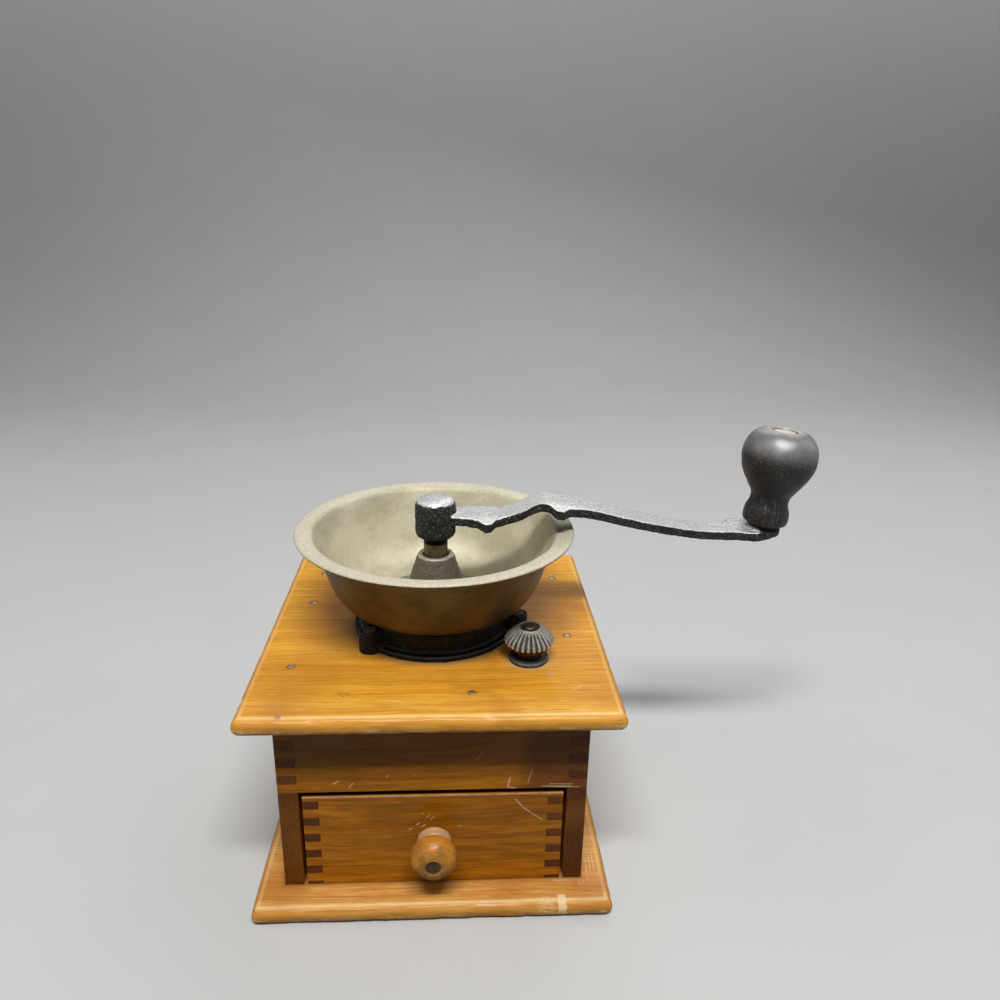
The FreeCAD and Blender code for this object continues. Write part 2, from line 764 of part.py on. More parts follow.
def crank_knob():
    """A turned pear-shaped handle. Radii are listed by height above its base."""
    outline = [(1.5, 12.0), (4.0, 12.2), (6.5, 11.4), (9.0, 10.7), (12.0, 11.4), (17.5, 14.5), (23.0, 18.1),
               (28.5, 20.3), (34.0, 20.8), (39.5, 20.0), (45.0, 17.4), (49.0, 13.0)]
    base = knob_base()
    top = base + knob_length
    bore = rivet_radius + running
    curve = [(r, base + h) for h, r in outline] + [(knob_recess_radius + 3.0, top)]
    knob = turned((bore, base), (11.0, base), curve, (knob_recess_radius, top),
                  (knob_recess_radius, top - knob_recess_depth), (bore, top - knob_recess_depth))
    return leaning(knob)


# ---- the mill

def build():
    nails = top_board_nails()
    base_holes = base_screws(slotted=False)
    lug_holes = body_screws(slotted=False)
    in_bowl = hopper_screws()
    in_plate = burr_plate_screws()
    in_hanger = hanger_screws()
    pin = burr_pin()
    pivot = lever_pivot_pin()
    rivet = knob_rivet()
    return {
        "base_board": base_board(base_holes),
        "top_board": top_board(nails, lug_holes + in_hanger),
        "side_panel_left": side_panel(-1, nails, base_holes),
        "side_panel_right": side_panel(1, nails, base_holes),
        "front_rail": front_rail_blank().cut(nails),
        "back_panel": back_panel_blank().cut(nails),
        "top_board_nails": nails,
        "base_screws": base_screws(),
        "drawer_front": drawer_front(),
        "drawer_side_left": drawer_side(-1),
        "drawer_side_right": drawer_side(1),
        "drawer_back": drawer_back(),
        "drawer_bottom": drawer_tray(),
        "drawer_knob": drawer_knob(),
        "drawer_knob_bolt": drawer_knob_bolt(),
        "drawer_knob_washer": drawer_knob_washer(),
        "grinder_body": grinder_body(lug_holes + in_bowl + in_plate),
        "body_screws": body_screws(),
        "hopper_bowl": hopper_bowl(in_bowl),
        "bearing_tower": bearing_tower(in_bowl),
        "hopper_screws": in_bowl,
        "outer_burr": outer_burr(),
        "burr_plate": burr_plate(in_plate),
        "burr_plate_screws": in_plate,
        "inner_burr": inner_burr(pin),
        "burr_pin": pin,
        "crank_shaft": crank_shaft(pin),
        "regulator_lever": regulator_lever(),
        "lever_hanger": lever_hanger(in_hanger, pivot),
        "hanger_screws": in_hanger,
        "lever_pivot_pin": pivot,
        "thrust_bush": thrust_bush(),
        "regulating_rod": regulating_rod(),
        "rod_foot_nut": rod_foot_nut(),
        "regulating_washer": regulating_washer(),
        "regulating_nut": regulating_nut(),
        "crank_arm": crank_arm(rivet),
        "knob_washer": knob_washer(),
        "knob_rivet": rivet,
        "crank_knob": crank_knob(),
    }


os.makedirs("parts", exist_ok=True)
for node, shape in build().items():
    if isinstance(shape, list):
        shape = Part.makeCompound(shape)
    shape.exportStep("parts/" + node + ".step")
    print(node, len(shape.Solids), round(shape.Volume), shape.isValid())
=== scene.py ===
# %% [markdown]
# # A hand crank coffee mill
# A box mill is a small wooden case with a drawer, a metal bowl for the beans and a swan-necked crank.
# This lesson takes the finished mechanical model as a fixed frame and gives every piece its looks.

# %% Load the frame
import json
from math import atan2, cos, hypot, pi, radians, sin

import bmesh
import bpy
from mathutils import Matrix, Vector, noise
from mathutils.geometry import interpolate_bezier


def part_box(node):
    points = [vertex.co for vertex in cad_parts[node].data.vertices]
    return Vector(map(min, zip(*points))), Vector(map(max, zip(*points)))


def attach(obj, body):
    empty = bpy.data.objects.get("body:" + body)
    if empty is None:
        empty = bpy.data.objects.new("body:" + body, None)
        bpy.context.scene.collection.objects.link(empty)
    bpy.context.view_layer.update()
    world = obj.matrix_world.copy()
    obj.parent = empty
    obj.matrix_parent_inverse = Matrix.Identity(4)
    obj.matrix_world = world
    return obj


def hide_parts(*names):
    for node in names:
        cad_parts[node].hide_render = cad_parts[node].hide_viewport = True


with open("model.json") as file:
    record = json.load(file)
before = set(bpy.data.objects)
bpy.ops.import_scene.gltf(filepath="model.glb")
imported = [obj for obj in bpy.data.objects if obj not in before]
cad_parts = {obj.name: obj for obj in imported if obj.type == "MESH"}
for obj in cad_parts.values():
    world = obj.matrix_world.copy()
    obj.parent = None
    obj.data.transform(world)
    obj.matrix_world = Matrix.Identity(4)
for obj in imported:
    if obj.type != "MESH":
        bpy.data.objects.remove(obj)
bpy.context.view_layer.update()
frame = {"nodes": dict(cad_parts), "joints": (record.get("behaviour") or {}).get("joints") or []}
mm = 0.001

# %% [markdown]
# ## Measures taken from the frame
# Seats and outer sizes come from the frame's own boxes, which are in metres, so a piece stays where its
# neighbours are. The shaft's axis is the vertical line through the origin. The handle's pin leans, and the
# joint that the handle spins on says where it stands and how far.

# %% Corners, heights and the handle's pin
base_low, base_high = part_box("base_board")
top_low, top_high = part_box("top_board")
face_low, face_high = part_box("drawer_front")
bowl_low, bowl_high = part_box("hopper_bowl")
nut_low, nut_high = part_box("regulating_nut")
pull_low, pull_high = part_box("drawer_knob")
nut_x = (nut_low.x + nut_high.x) / 2 / mm
nut_y = (nut_low.y + nut_high.y) / 2 / mm
board_top = top_high.z / mm
case_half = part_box("front_rail")[1].x / mm
knob_spin = next(joint for joint in frame["joints"] if joint["name"] == "knob_spin")
pin_place = Vector(knob_spin["pos_m"])
pin_lean = atan2(knob_spin["axis"][0], knob_spin["axis"][2])
print("board top at", round(board_top, 1), "mm, pin at", round(pin_place.x / mm, 1), "mm")

# %% [markdown]
# ## Shader maths as plain expressions
# A pattern such as wood grain is a formula of the place on the piece. Wrapping a socket in a small class
# lets the formula be written with + - * /, and each operator adds its own Math node.


# %% A value in a material
class Value:
    """A socket that Python's operators turn into Math nodes."""

    def __init__(self, paint, socket):
        self.paint = paint
        self.socket = socket

    def __add__(self, other):
        return calc("ADD", self, other)

    def __sub__(self, other):
        return calc("SUBTRACT", self, other)

    def __mul__(self, other):
        return calc("MULTIPLY", self, other)

    def __truediv__(self, other):
        return calc("DIVIDE", self, other)

    def __pow__(self, other):
        return calc("POWER", self, other)

    def __radd__(self, other):
        return calc("ADD", other, self)

    def __rsub__(self, other):
        return calc("SUBTRACT", other, self)

    def __rmul__(self, other):
        return calc("MULTIPLY", other, self)

    def __rtruediv__(self, other):
        return calc("DIVIDE", other, self)

    def __abs__(self):
        return calc("ABSOLUTE", self)

    def step(self, low, high):
        """0 below low, 1 above high and a smooth ramp between; low may be the larger."""
        node = self.paint.node("ShaderNodeMapRange", {"interpolation_type": "SMOOTHSTEP"},
                               {"Value": self, "From Min": low, "From Max": high})
        return Value(self.paint, node.outputs["Result"])


def calc(operation, *terms):
    """One Math node on values and numbers."""
    paint = next(term.paint for term in terms if isinstance(term, Value))
    node = paint.node("ShaderNodeMath", {"operation": operation}, dict(enumerate(terms)))
    return Value(paint, node.outputs[0])


def largest(first, *rest):
    """The largest of its terms at each place: masks laid over each other."""
    for term in rest:
        first = calc("MAXIMUM", first, term)
    return first


def length(*terms):
    """The distance whose parts along each axis are the terms."""
    return sum((term * term for term in terms[1:]), terms[0] * terms[0]) ** 0.5


def away(x, y, place):
    """The distance from a place on a board."""
    return length(x - place[0], y - place[1])


# %% [markdown]
# ## One builder for every finish
# A finish starts as a Principled shader. `Paint` adds nodes to it, hands out the place on the piece in
# millimetres, and connects what changes over the surface.


# %% The material builder
class Paint:
    """A material with one Principled shader, and short ways to feed it."""

    def __init__(self, name, **plain):
        self.material = bpy.data.materials.new(name)
        self.material.use_nodes = True
        self.tree = self.material.node_tree
        self.shader = self.tree.nodes["Principled BSDF"]
        for socket, value in plain.items():
            self.shader.inputs[socket.replace("_", " ")].default_value = value

    def node(self, kind, settings, inputs):
        """Adds a node, sets it up and links or sets its sockets."""
        node = self.tree.nodes.new(kind)
        for setting, value in settings.items():
            setattr(node, setting, value)
        for socket, value in inputs.items():
            if isinstance(value, Value):
                self.tree.links.new(value.socket, node.inputs[socket])
            else:
                node.inputs[socket].default_value = value
        return node

    def place(self):
        """The place on the piece, in millimetres."""
        coordinate = self.node("ShaderNodeTexCoord", {}, {})
        split = self.node("ShaderNodeSeparateXYZ", {}, {0: Value(self, coordinate.outputs["Object"])})
        return [Value(self, split.outputs[n]) * (1 / mm) for n in range(3)]

    def facing(self):
        """The surface's own direction, which turns with the piece."""
        coordinate = self.node("ShaderNodeTexCoord", {}, {})
        split = self.node("ShaderNodeSeparateXYZ", {}, {0: Value(self, coordinate.outputs["Normal"])})
        return [Value(self, split.outputs[n]) for n in range(3)]

    def noise(self, x, y, z, detail=2.0, roughness=0.5):
        """Cloudy noise from 0 to 1, with one lump to each unit of the place it is given."""
        vector = self.node("ShaderNodeCombineXYZ", {}, {0: x, 1: y, 2: z})
        node = self.node("ShaderNodeTexNoise", {}, {
            "Vector": Value(self, vector.outputs[0]), "Scale": 1.0, "Detail": detail,
            "Roughness": roughness})
        return Value(self, node.outputs[0])

    def cells(self, x, y, z):
        """The distance to the nearest of many scattered points, one in each unit of space."""
        vector = self.node("ShaderNodeCombineXYZ", {}, {0: x, 1: y, 2: z})
        node = self.node("ShaderNodeTexVoronoi", {"feature": "F1"}, {
            "Vector": Value(self, vector.outputs[0]), "Scale": 1.0})
        return Value(self, node.outputs["Distance"])

    def mix(self, first, second, factor):
        """A colour between two colours."""
        node = self.node("ShaderNodeMix", {"data_type": "RGBA"}, {"Factor": factor, 6: first, 7: second})
        return Value(self, node.outputs[2])

    def feed(self, **sockets):
        """Connects the shader's sockets, with _ for each space in a socket's name."""
        for socket, value in sockets.items():
            target = self.shader.inputs[socket.replace("_", " ")]
            if isinstance(value, Value):
                self.tree.links.new(value.socket, target)
            else:
                target.default_value = value

    def bump(self, height, depth):
        """Raises the surface by height, a value of about 0..1, times depth in millimetres."""
        node = self.node("ShaderNodeBump", {}, {"Height": height, "Strength": 1.0, "Distance": depth * mm})
        self.tree.links.new(node.outputs[0], self.shader.inputs["Normal"])


def colour(red, green, blue):
    """A solid colour, as a socket takes it."""
    return (red, green, blue, 1.0)


# %% [markdown]
# ## Stage
# A pale floor that runs up into a backdrop keeps the mill alone in the picture. The camera stands where
# someone would look down at the mill on a table: a little to the right, above, with a wide lens.
# The floor and the sky look paler than the light that they throw on the mill. Light Path tells the rays
# that show them, straight or in a gloss, from the rays that carry their light.

# %% Camera
def aimed_camera(place, yaw, pitch, roll, lens):
    """Looks along +Y, turned to the right by yaw and down by pitch, with its right side raised by roll."""
    forward = Vector((sin(yaw) * cos(pitch), cos(yaw) * cos(pitch), -sin(pitch)))
    right = Vector((cos(yaw), -sin(yaw), 0.0))
    up = right.cross(forward)
    level_right = right * cos(roll) + up * sin(roll)
    level_up = up * cos(roll) - right * sin(roll)
    data = bpy.data.cameras.new("camera")
    data.lens = lens
    camera = bpy.data.objects.new("camera", data)
    turn = Matrix((level_right, level_up, -forward)).transposed().to_4x4()
    camera.matrix_world = Matrix.Translation(place) @ turn
    bpy.context.collection.objects.link(camera)
    bpy.context.scene.camera = camera


aimed_camera(place=Vector((9.6, -394.5, 330.3)) * mm, yaw=radians(3.51), pitch=radians(19.77),
             roll=radians(1.23), lens=28.83)


# %% Floor and backdrop
floor_half = 2.2
wall_height = 4.0
bend_size = 1.2


def make_stage():
    """The floor and its wall, joined by a rounded bend."""
    bm = bmesh.new()
    bmesh.ops.create_grid(bm, x_segments=1, y_segments=1, size=floor_half)
    back = [edge for edge in bm.edges if all(v.co.y > floor_half - 0.1 for v in edge.verts)]
    wall = bmesh.ops.extrude_edge_only(bm, edges=back)["geom"]
    risen = [v for v in wall if isinstance(v, bmesh.types.BMVert)]
    bmesh.ops.translate(bm, verts=risen, vec=(0, 0, wall_height))
    bend = [edge for edge in bm.edges
            if all(v.co.y > floor_half - 0.1 and abs(v.co.z) < 1e-6 for v in edge.verts)]
    bmesh.ops.bevel(bm, geom=bend, offset=bend_size, segments=12, profile=0.5, affect="EDGES", material=-1)
    mesh = bpy.data.meshes.new("floor")
    bm.to_mesh(mesh)
    mesh.shade_smooth()
    floor = bpy.data.objects.new("floor", mesh)
    bpy.context.collection.objects.link(floor)
    paint = Paint("pale_floor", Roughness=0.85, Emission_Strength=1.0)
    x, y, z = paint.place()
    tone = paint.noise(x * 0.01, y * 0.01, z * 0.01)
    wall = z.step(100.0, 2200.0)
    rays = paint.node("ShaderNodeLightPath", {}, {})
    seen = largest(*(Value(paint, rays.outputs[ray]) for ray in
                     ("Is Camera Ray", "Is Glossy Ray", "Is Transmission Ray")))
    pale = paint.mix(colour(0.56, 0.56, 0.55), colour(0.60, 0.60, 0.59), tone)
    glow = paint.mix(colour(0.0, 0.0, 0.0), colour(0.34, 0.34, 0.335), wall * seen)
    paint.feed(Base_Color=paint.mix(colour(0.14, 0.14, 0.14), pale, seen), Emission_Color=glow)
    mesh.materials.append(paint.material)


make_stage()


# %% [markdown]
# ## Light
# The main lamp is a long strip in front of the mill and high above it. The top board's overhang throws
# its shadow on the case, and round things get a broad highlight. Two side lamps, one behind and a pale
# sky keep the other sides readable.

# %% Lamps and sky
def lamp(name, place, aim, size, power):
    """A flat lamp that faces a place, with its size in metres and its power in watts."""
    data = bpy.data.lights.new(name, "AREA")
    data.shape = "RECTANGLE"
    data.size, data.size_y = size
    data.energy = power
    light = bpy.data.objects.new(name, data)
    light.location = place
    light.rotation_euler = (Vector(aim) - Vector(place)).to_track_quat("-Z", "Y").to_euler()
    bpy.context.collection.objects.link(light)


lamp("main", place=(0.02, -0.79, 1.58), aim=(0.02, 0.0, 0.1), size=(0.90, 0.16), power=26.0)
lamp("left_side", place=(-1.2, 0.15, 0.9), aim=(0.0, 0.0, 0.1), size=(0.8, 0.8), power=2.8)
lamp("right_side", place=(1.2, 0.15, 0.8), aim=(0.05, 0.0, 0.12), size=(0.8, 0.8), power=2.6)
lamp("behind", place=(0.42, 1.15, 1.25), aim=(0.02, 0.0, 0.1), size=(1.2, 0.6), power=6.5)


def pale_sky(shade, light, seen):
    """A sky of strength `light` on the mill, and of strength `seen` where it shows."""
    world = bpy.data.worlds.new("sky")
    world.use_nodes = True
    tree = world.node_tree
    sky = tree.nodes["Background"]
    sky.inputs["Color"].default_value = shade
    rays = tree.nodes.new("ShaderNodeLightPath")
    shows = rays.outputs["Is Camera Ray"]
    for ray in ("Is Glossy Ray", "Is Transmission Ray"):
        either = tree.nodes.new("ShaderNodeMath")
        either.operation = "MAXIMUM"
        tree.links.new(shows, either.inputs[0])
        tree.links.new(rays.outputs[ray], either.inputs[1])
        shows = either.outputs[0]
    strength = tree.nodes.new("ShaderNodeMapRange")
    strength.inputs["To Min"].default_value = light
    strength.inputs["To Max"].default_value = seen
    tree.links.new(shows, strength.inputs["Value"])
    tree.links.new(strength.outputs["Result"], sky.inputs["Strength"])
    bpy.context.scene.world = world


pale_sky(colour(0.97, 0.98, 1.0), light=0.10, seen=0.34)
bpy.context.scene.view_settings.view_transform = "Standard"

# %% [markdown]
# ## Tools of the bench
# Three ways of making cover the whole mill. A turned piece is an outline spun about its axis. A joiner's
# piece is a copy of the frame's own part with its arrises eased, because real edges are never sharp. A
# casting is fused into one skin by a voxel remesh, which rounds its inner corners as a mould does.


# %% Lines and turning
def flowing(points, resolution=6):
    """A smooth line through (radius, height) points."""
    places = [Vector((r, 0.0, z)) for r, z in points]
    ends = [places[0]] + places + [places[-1]]
    line = [places[0]]
    for before, start, end, after in zip(ends, ends[1:], ends[2:], ends[3:]):
        span = interpolate_bezier(start, start + (end - before) / 6, end - (after - start) / 6, end,
                                  resolution)
        line.extend(span[1:])
    return [(point.x, point.z) for point in line]


def turned(line, closed=False, steps=128):
    """Spins a line of (radius, height), in millimetres, about the vertical axis."""
    bm = bmesh.new()
    verts = [bm.verts.new((r * mm, 0.0, z * mm)) for r, z in line]
    pairs = list(zip(verts, verts[1:] + verts[:1])) if closed else list(zip(verts, verts[1:]))
    edges = [bm.edges.new(pair) for pair in pairs]
    bmesh.ops.spin(bm, geom=verts + edges, cent=(0, 0, 0), axis=(0, 0, 1), angle=2 * pi, steps=steps,
                   use_merge=True)
    bmesh.ops.remove_doubles(bm, verts=bm.verts[:], dist=1e-7)
    bmesh.ops.recalc_face_normals(bm, faces=bm.faces[:])
    return bm


# %% Copies of the frame's parts
def frame_copy(node):
    """A CAD node's triangles merged back into whole faces."""
    bm = bmesh.new()
    bm.from_mesh(frame["nodes"][node].data)
    bmesh.ops.remove_doubles(bm, verts=bm.verts[:], dist=1e-6)
    bmesh.ops.dissolve_limit(bm, angle_limit=radians(0.5), verts=bm.verts[:], edges=bm.edges[:])
    return bm


def eased(node, width, segments=2, shortest=0.8):
    """A copy with its sharp edges rounded by width, in millimetres."""
    bm = frame_copy(node)
    sharp = [edge for edge in bm.edges if len(edge.link_faces) == 2
             and edge.calc_face_angle(0.0) > radians(35) and edge.calc_length() > shortest * mm]
    bmesh.ops.bevel(bm, geom=sharp, offset=width * mm, segments=segments, profile=0.5, affect="EDGES",
                    clamp_overlap=False, material=-1)
    return bm


def islands(node):
    """The lowest and highest corner of each separate shell in a CAD node."""
    bm = bmesh.new()
    bm.from_mesh(frame["nodes"][node].data)
    bmesh.ops.remove_doubles(bm, verts=bm.verts[:], dist=1e-6)
    waiting = set(bm.verts)
    found = []
    while waiting:
        shell = [waiting.pop()]
        for vert in shell:
            for edge in vert.link_edges:
                other = edge.other_vert(vert)
                if other in waiting:
                    waiting.remove(other)
                    shell.append(other)
        found.append((Vector(min(v.co[n] for v in shell) for n in range(3)),
                      Vector(max(v.co[n] for v in shell) for n in range(3))))
    bm.free()
    return sorted(found, key=lambda corners: tuple(corners[0]))


# %% Slices, dents and castings
def sliced(bm, axis, low, high, pitch):
    """Cuts every face at a regular pitch along an axis, so that there are points to move."""
    normal = Vector((0, 0, 0))
    normal[axis] = 1.0
    count = int((high - low) / (pitch * mm))
    for n in range(1, count):
        bmesh.ops.bisect_plane(bm, geom=bm.verts[:] + bm.edges[:] + bm.faces[:], dist=1e-7,
                               plane_co=normal * (low + n * pitch * mm), plane_no=normal)


def roughened(bm, depth, scale, seed=0.0):
    """Pushes each point in along its normal by noise of `scale` lumps a millimetre."""
    bm.normal_update()
    offset = Vector((seed, seed, seed))
    moves = {v: v.normal * (noise.fractal(v.co / mm * scale + offset, 1.0, 2.0, 3) - 0.5) * depth * mm
             for v in bm.verts}
    for vert, move in moves.items():
        vert.co += move


def as_cast(bm, voxel, smoothing):
    """Fuses overlapping closed shapes into one skin and softens it."""
    mesh = bpy.data.meshes.new("casting")
    bm.to_mesh(mesh)
    bm.free()
    rough = bpy.data.objects.new("casting", mesh)
    bpy.context.collection.objects.link(rough)
    remesh = rough.modifiers.new("one skin", "REMESH")
    remesh.mode = "VOXEL"
    remesh.voxel_size = voxel * mm
    remesh.adaptivity = 0.0
    ready = bpy.data.meshes.new_from_object(rough.evaluated_get(bpy.context.evaluated_depsgraph_get()))
    fused = bmesh.new()
    fused.from_mesh(ready)
    bpy.data.objects.remove(rough)
    for _ in range(smoothing):
        bmesh.ops.smooth_vert(fused, verts=fused.verts[:], factor=0.5, use_axis_x=True,
                              use_axis_y=True, use_axis_z=True)
    return fused


# %% From mesh to piece
def piece(name, bm, body, paint, nodes, sharp=35.0):
    """Makes the object, gives it its finish, parents it to its body's empty and hides the CAD nodes it
    stands for.
    """
    mesh = bpy.data.meshes.new(name)
    bm.to_mesh(mesh)
    bm.free()
    mesh.shade_smooth()
    mesh.set_sharp_from_angle(angle=radians(sharp))
    mesh.materials.append(paint)
    made = bpy.data.objects.new(name, mesh)
    bpy.context.collection.objects.link(made)
    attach(made, body)
    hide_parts(*nodes)
    print(name, len(mesh.polygons), "faces")


def add_shape(whole, part):
    """Adds one shape's mesh to another's."""
    mesh = bpy.data.meshes.new("part")
    part.to_mesh(mesh)
    part.free()
    whole.from_mesh(mesh)
    bpy.data.meshes.remove(mesh)


def moved(bm, x, y, z):
    """Moves a shape, in millimetres."""
    bmesh.ops.translate(bm, verts=bm.verts[:], vec=(x * mm, y * mm, z * mm))
    return bm


# %% [markdown]
# ## Varnished wood
# Real grain is growth rings cut lengthwise: bands that wander slowly, thin fibres along them, and short
# dark pores. Each is noise stretched along the grain. Varnish over it is a weak coat with its own gloss,
# and a scratch through the varnish shows pale bare wood.


# %% Wood grain
def darker(shade, share):
    """The colour with only a share of its light."""
    return colour(*(share * part for part in shade[:3]))


def wood(name, grain, pale, deep, end_shade, seed):
    """A varnished wood with its grain along axis number `grain`."""
    paint = Paint(name, Coat_Roughness=0.22, Specular_IOR_Level=0.12)
    place = paint.place()
    along = place[grain]
    across, through = (place[n] for n in range(3) if n != grain)
    wander = paint.noise(along * 0.009 + seed, across * 0.012, through * 0.012, detail=2.0) - 0.5
    ring_place = across + through * 0.4 + wander * 9.0
    broad = paint.noise(along * 0.005 + seed, ring_place * 0.10, seed, detail=2.0)
    bands = paint.noise(along * 0.006 + seed, ring_place * 0.42, seed, detail=3.0, roughness=0.6)
    lines = paint.noise(along * 0.022 + seed, ring_place * 1.05, through * 0.1, detail=3.0, roughness=0.7)
    fibres = paint.noise(along * 0.11, across * 2.3, through * 2.3 + seed, detail=2.0, roughness=0.6)
    pores = paint.noise(along * 0.10 + seed, across * 3.0, through * 3.0).step(0.64, 0.72)
    tone = broad.step(0.35, 0.7) * 0.30 + bands.step(0.36, 0.70) * 0.35
    tone = tone + lines.step(0.40, 0.66) * 0.50 + fibres.step(0.38, 0.68) * 0.38
    shade = paint.mix(pale, deep, tone)
    shade = paint.mix(shade, darker(deep, 0.40), pores * 0.6)
    end = abs(paint.facing()[grain]).step(0.6, 0.9)
    rings = paint.noise(across * 0.9 + seed, through * 0.25, seed, detail=3.0).step(0.3, 0.7)
    shade = paint.mix(shade, paint.mix(end_shade, darker(end_shade, 0.6), rings), end)
    height = fibres * 0.5 + lines * 0.5 - pores * 0.5
    return paint, place, shade, height


# %% Scratches
def stroke(u, v, start, end, width=0.45):
    """1 on a thin line from start to end on a face, and 0 off it, in millimetres."""
    run_u = end[0] - start[0]
    run_v = end[1] - start[1]
    reach = hypot(run_u, run_v)
    along = ((u - start[0]) * run_u + (v - start[1]) * run_v) / reach
    across = ((v - start[1]) * run_u - (u - start[0]) * run_v) / reach
    return abs(across).step(width, width * 0.35) * abs(along - reach / 2).step(reach / 2, reach / 2 - 0.7)


def scratched(paint, u, v, marks):
    """All the marks together, each a little ragged."""
    ragged = paint.noise(u * 0.9, v * 0.9, 0.0, detail=3.0, roughness=0.7) - 0.5
    return largest(*(stroke(u + ragged * 1.2, v + ragged * 1.2, *mark) for mark in marks))


amber = colour(0.92, 0.47, 0.050)
amber_deep = colour(0.60, 0.235, 0.014)
amber_red = colour(0.40, 0.12, 0.014)
tan = colour(0.80, 0.43, 0.12)
tan_deep = colour(0.50, 0.21, 0.040)
brown = colour(0.54, 0.205, 0.008)
brown_deep = colour(0.27, 0.086, 0.003)
end_brown = colour(0.16, 0.050, 0.004)
red_brown = colour(0.115, 0.032, 0.005)
bare_wood = colour(0.88, 0.68, 0.40)


# %% [markdown]
# ### The two boards
# The boards' rounded noses take the knocks. Their varnish is thin on the arris, which also carries a
# painted highlight, brightest at the front, and chipped through to bare wood along the lower edge; the wood
# is darker near the edge, most on the nose's lower half. All of it depends on how far a place is from the
# board's edge, which is a formula of x and y.


# %% Board varnish
def board_paint(name, low, high, seed, pale, deep, marks):
    """The boards' common varnish, worn along the nose and scratched on top."""
    paint, (x, y, z), shade, height = wood(name, 0, pale, deep, end_brown, seed)
    half_x = high.x / mm
    front = -low.y / mm
    back = high.y / mm
    top = high.z / mm
    inset = 0.0 - largest(abs(x) - half_x, y - back, 0.0 - y - front)
    ragged = paint.noise(x * 0.10 + seed, y * 0.10, z * 0.25, detail=4.0, roughness=0.65)
    fine = paint.noise(x * 0.8, y * 0.8, z * 0.8 + seed, detail=4.0, roughness=0.7)
    cloud = paint.noise(x * 0.022 + seed, y * 0.022, z * 0.02, detail=3.0)
    shade = paint.mix(shade, amber_red, cloud.step(0.50, 0.72) * 0.45)
    streaky = paint.noise(x * 0.16, y * 0.16, z * 1.5 + seed, detail=3.0, roughness=0.65)
    patchy = paint.noise(x * 0.028 + seed, y * 0.028, 0.0, detail=2.0)
    edge = inset.step(4.6, 2.6)
    lower = (top - z).step(3.6, 6.0)
    # Darker near the edge, most on the nose's lower half.
    shade = paint.mix(shade, amber_deep, edge * 0.45 + lower * edge * 0.4)
    # Partly thin varnish and partly painted highlight: a pale line along the top arris, brighter at the
    # front.
    arris = abs(inset - 3.3).step(1.5, 0.2) * (top - z).step(1.6, 0.4) * (ragged * 0.9 + 0.35)
    arris = arris * ((y + front).step(9.0, 4.0) * 0.5 + 0.5)
    shade = paint.mix(shade, colour(0.96, 0.72, 0.34), arris * 0.75)
    flecks = ragged * 0.35 + fine * 0.65
    chips = edge * flecks.step(0.66, 0.70)
    chips = largest(chips, lower * edge * (streaky * 0.75 + fine * 0.25 + patchy * 0.25).step(0.675, 0.705))
    corner = length(abs(x) - half_x, largest(y - back, 0.0 - y - front)).step(9.0, 4.0)
    chips = largest(chips, corner * edge * flecks.step(0.46, 0.54) * lower.step(0.0, 0.5))
    shade = paint.mix(shade, bare_wood, chips * 0.85)
    shade = paint.mix(shade, bare_wood, scratched(paint, x, y, marks) * (fine * 0.8 + 0.2))
    return paint, (x, y, z), shade, height, fine, largest(chips, arris * 0.4)


# %% The top board's finish
nail_places = [((low.x + high.x) / 2 / mm, (low.y + high.y) / 2 / mm)
               for low, high in islands("top_board_nails")]
# The nail at the front left is sunk under coloured filler.
sunk_nail = min(nail_places, key=lambda place: place[0] + 2.0 * place[1])
print(len(nail_places), "nails at", [(round(x), round(y)) for x, y in nail_places])
top_marks = [((-52.0, 40.0), (-49.0, 52.0), 0.25), ((60.0, -30.0), (62.5, -21.0), 0.3),
             ((-20.0, -77.0), (-12.0, -78.5), 0.3), ((66.0, -70.0), (71.0, -66.0), 0.25),
             ((40.0, -86.0), (55.0, -84.5), 0.4), ((63.0, -85.0), (72.0, -86.0), 0.5)]
front_stain = (-66.0, -58.0)
left_stain = (-58.0, 20.0)
filled_dent = (56.5, -56.0)
knot_place = (-68.4, -88.0)
ring_foot = 43.0
nail_stain = colour(0.16, 0.08, 0.03)
filler_tan = colour(0.42, 0.36, 0.26)
bean_dust = colour(0.50, 0.45, 0.27)
ring_foot_dark = colour(0.20, 0.075, 0.012)
painted_light_amber = colour(0.95, 0.62, 0.22)
knot_brown = colour(0.45, 0.20, 0.12)


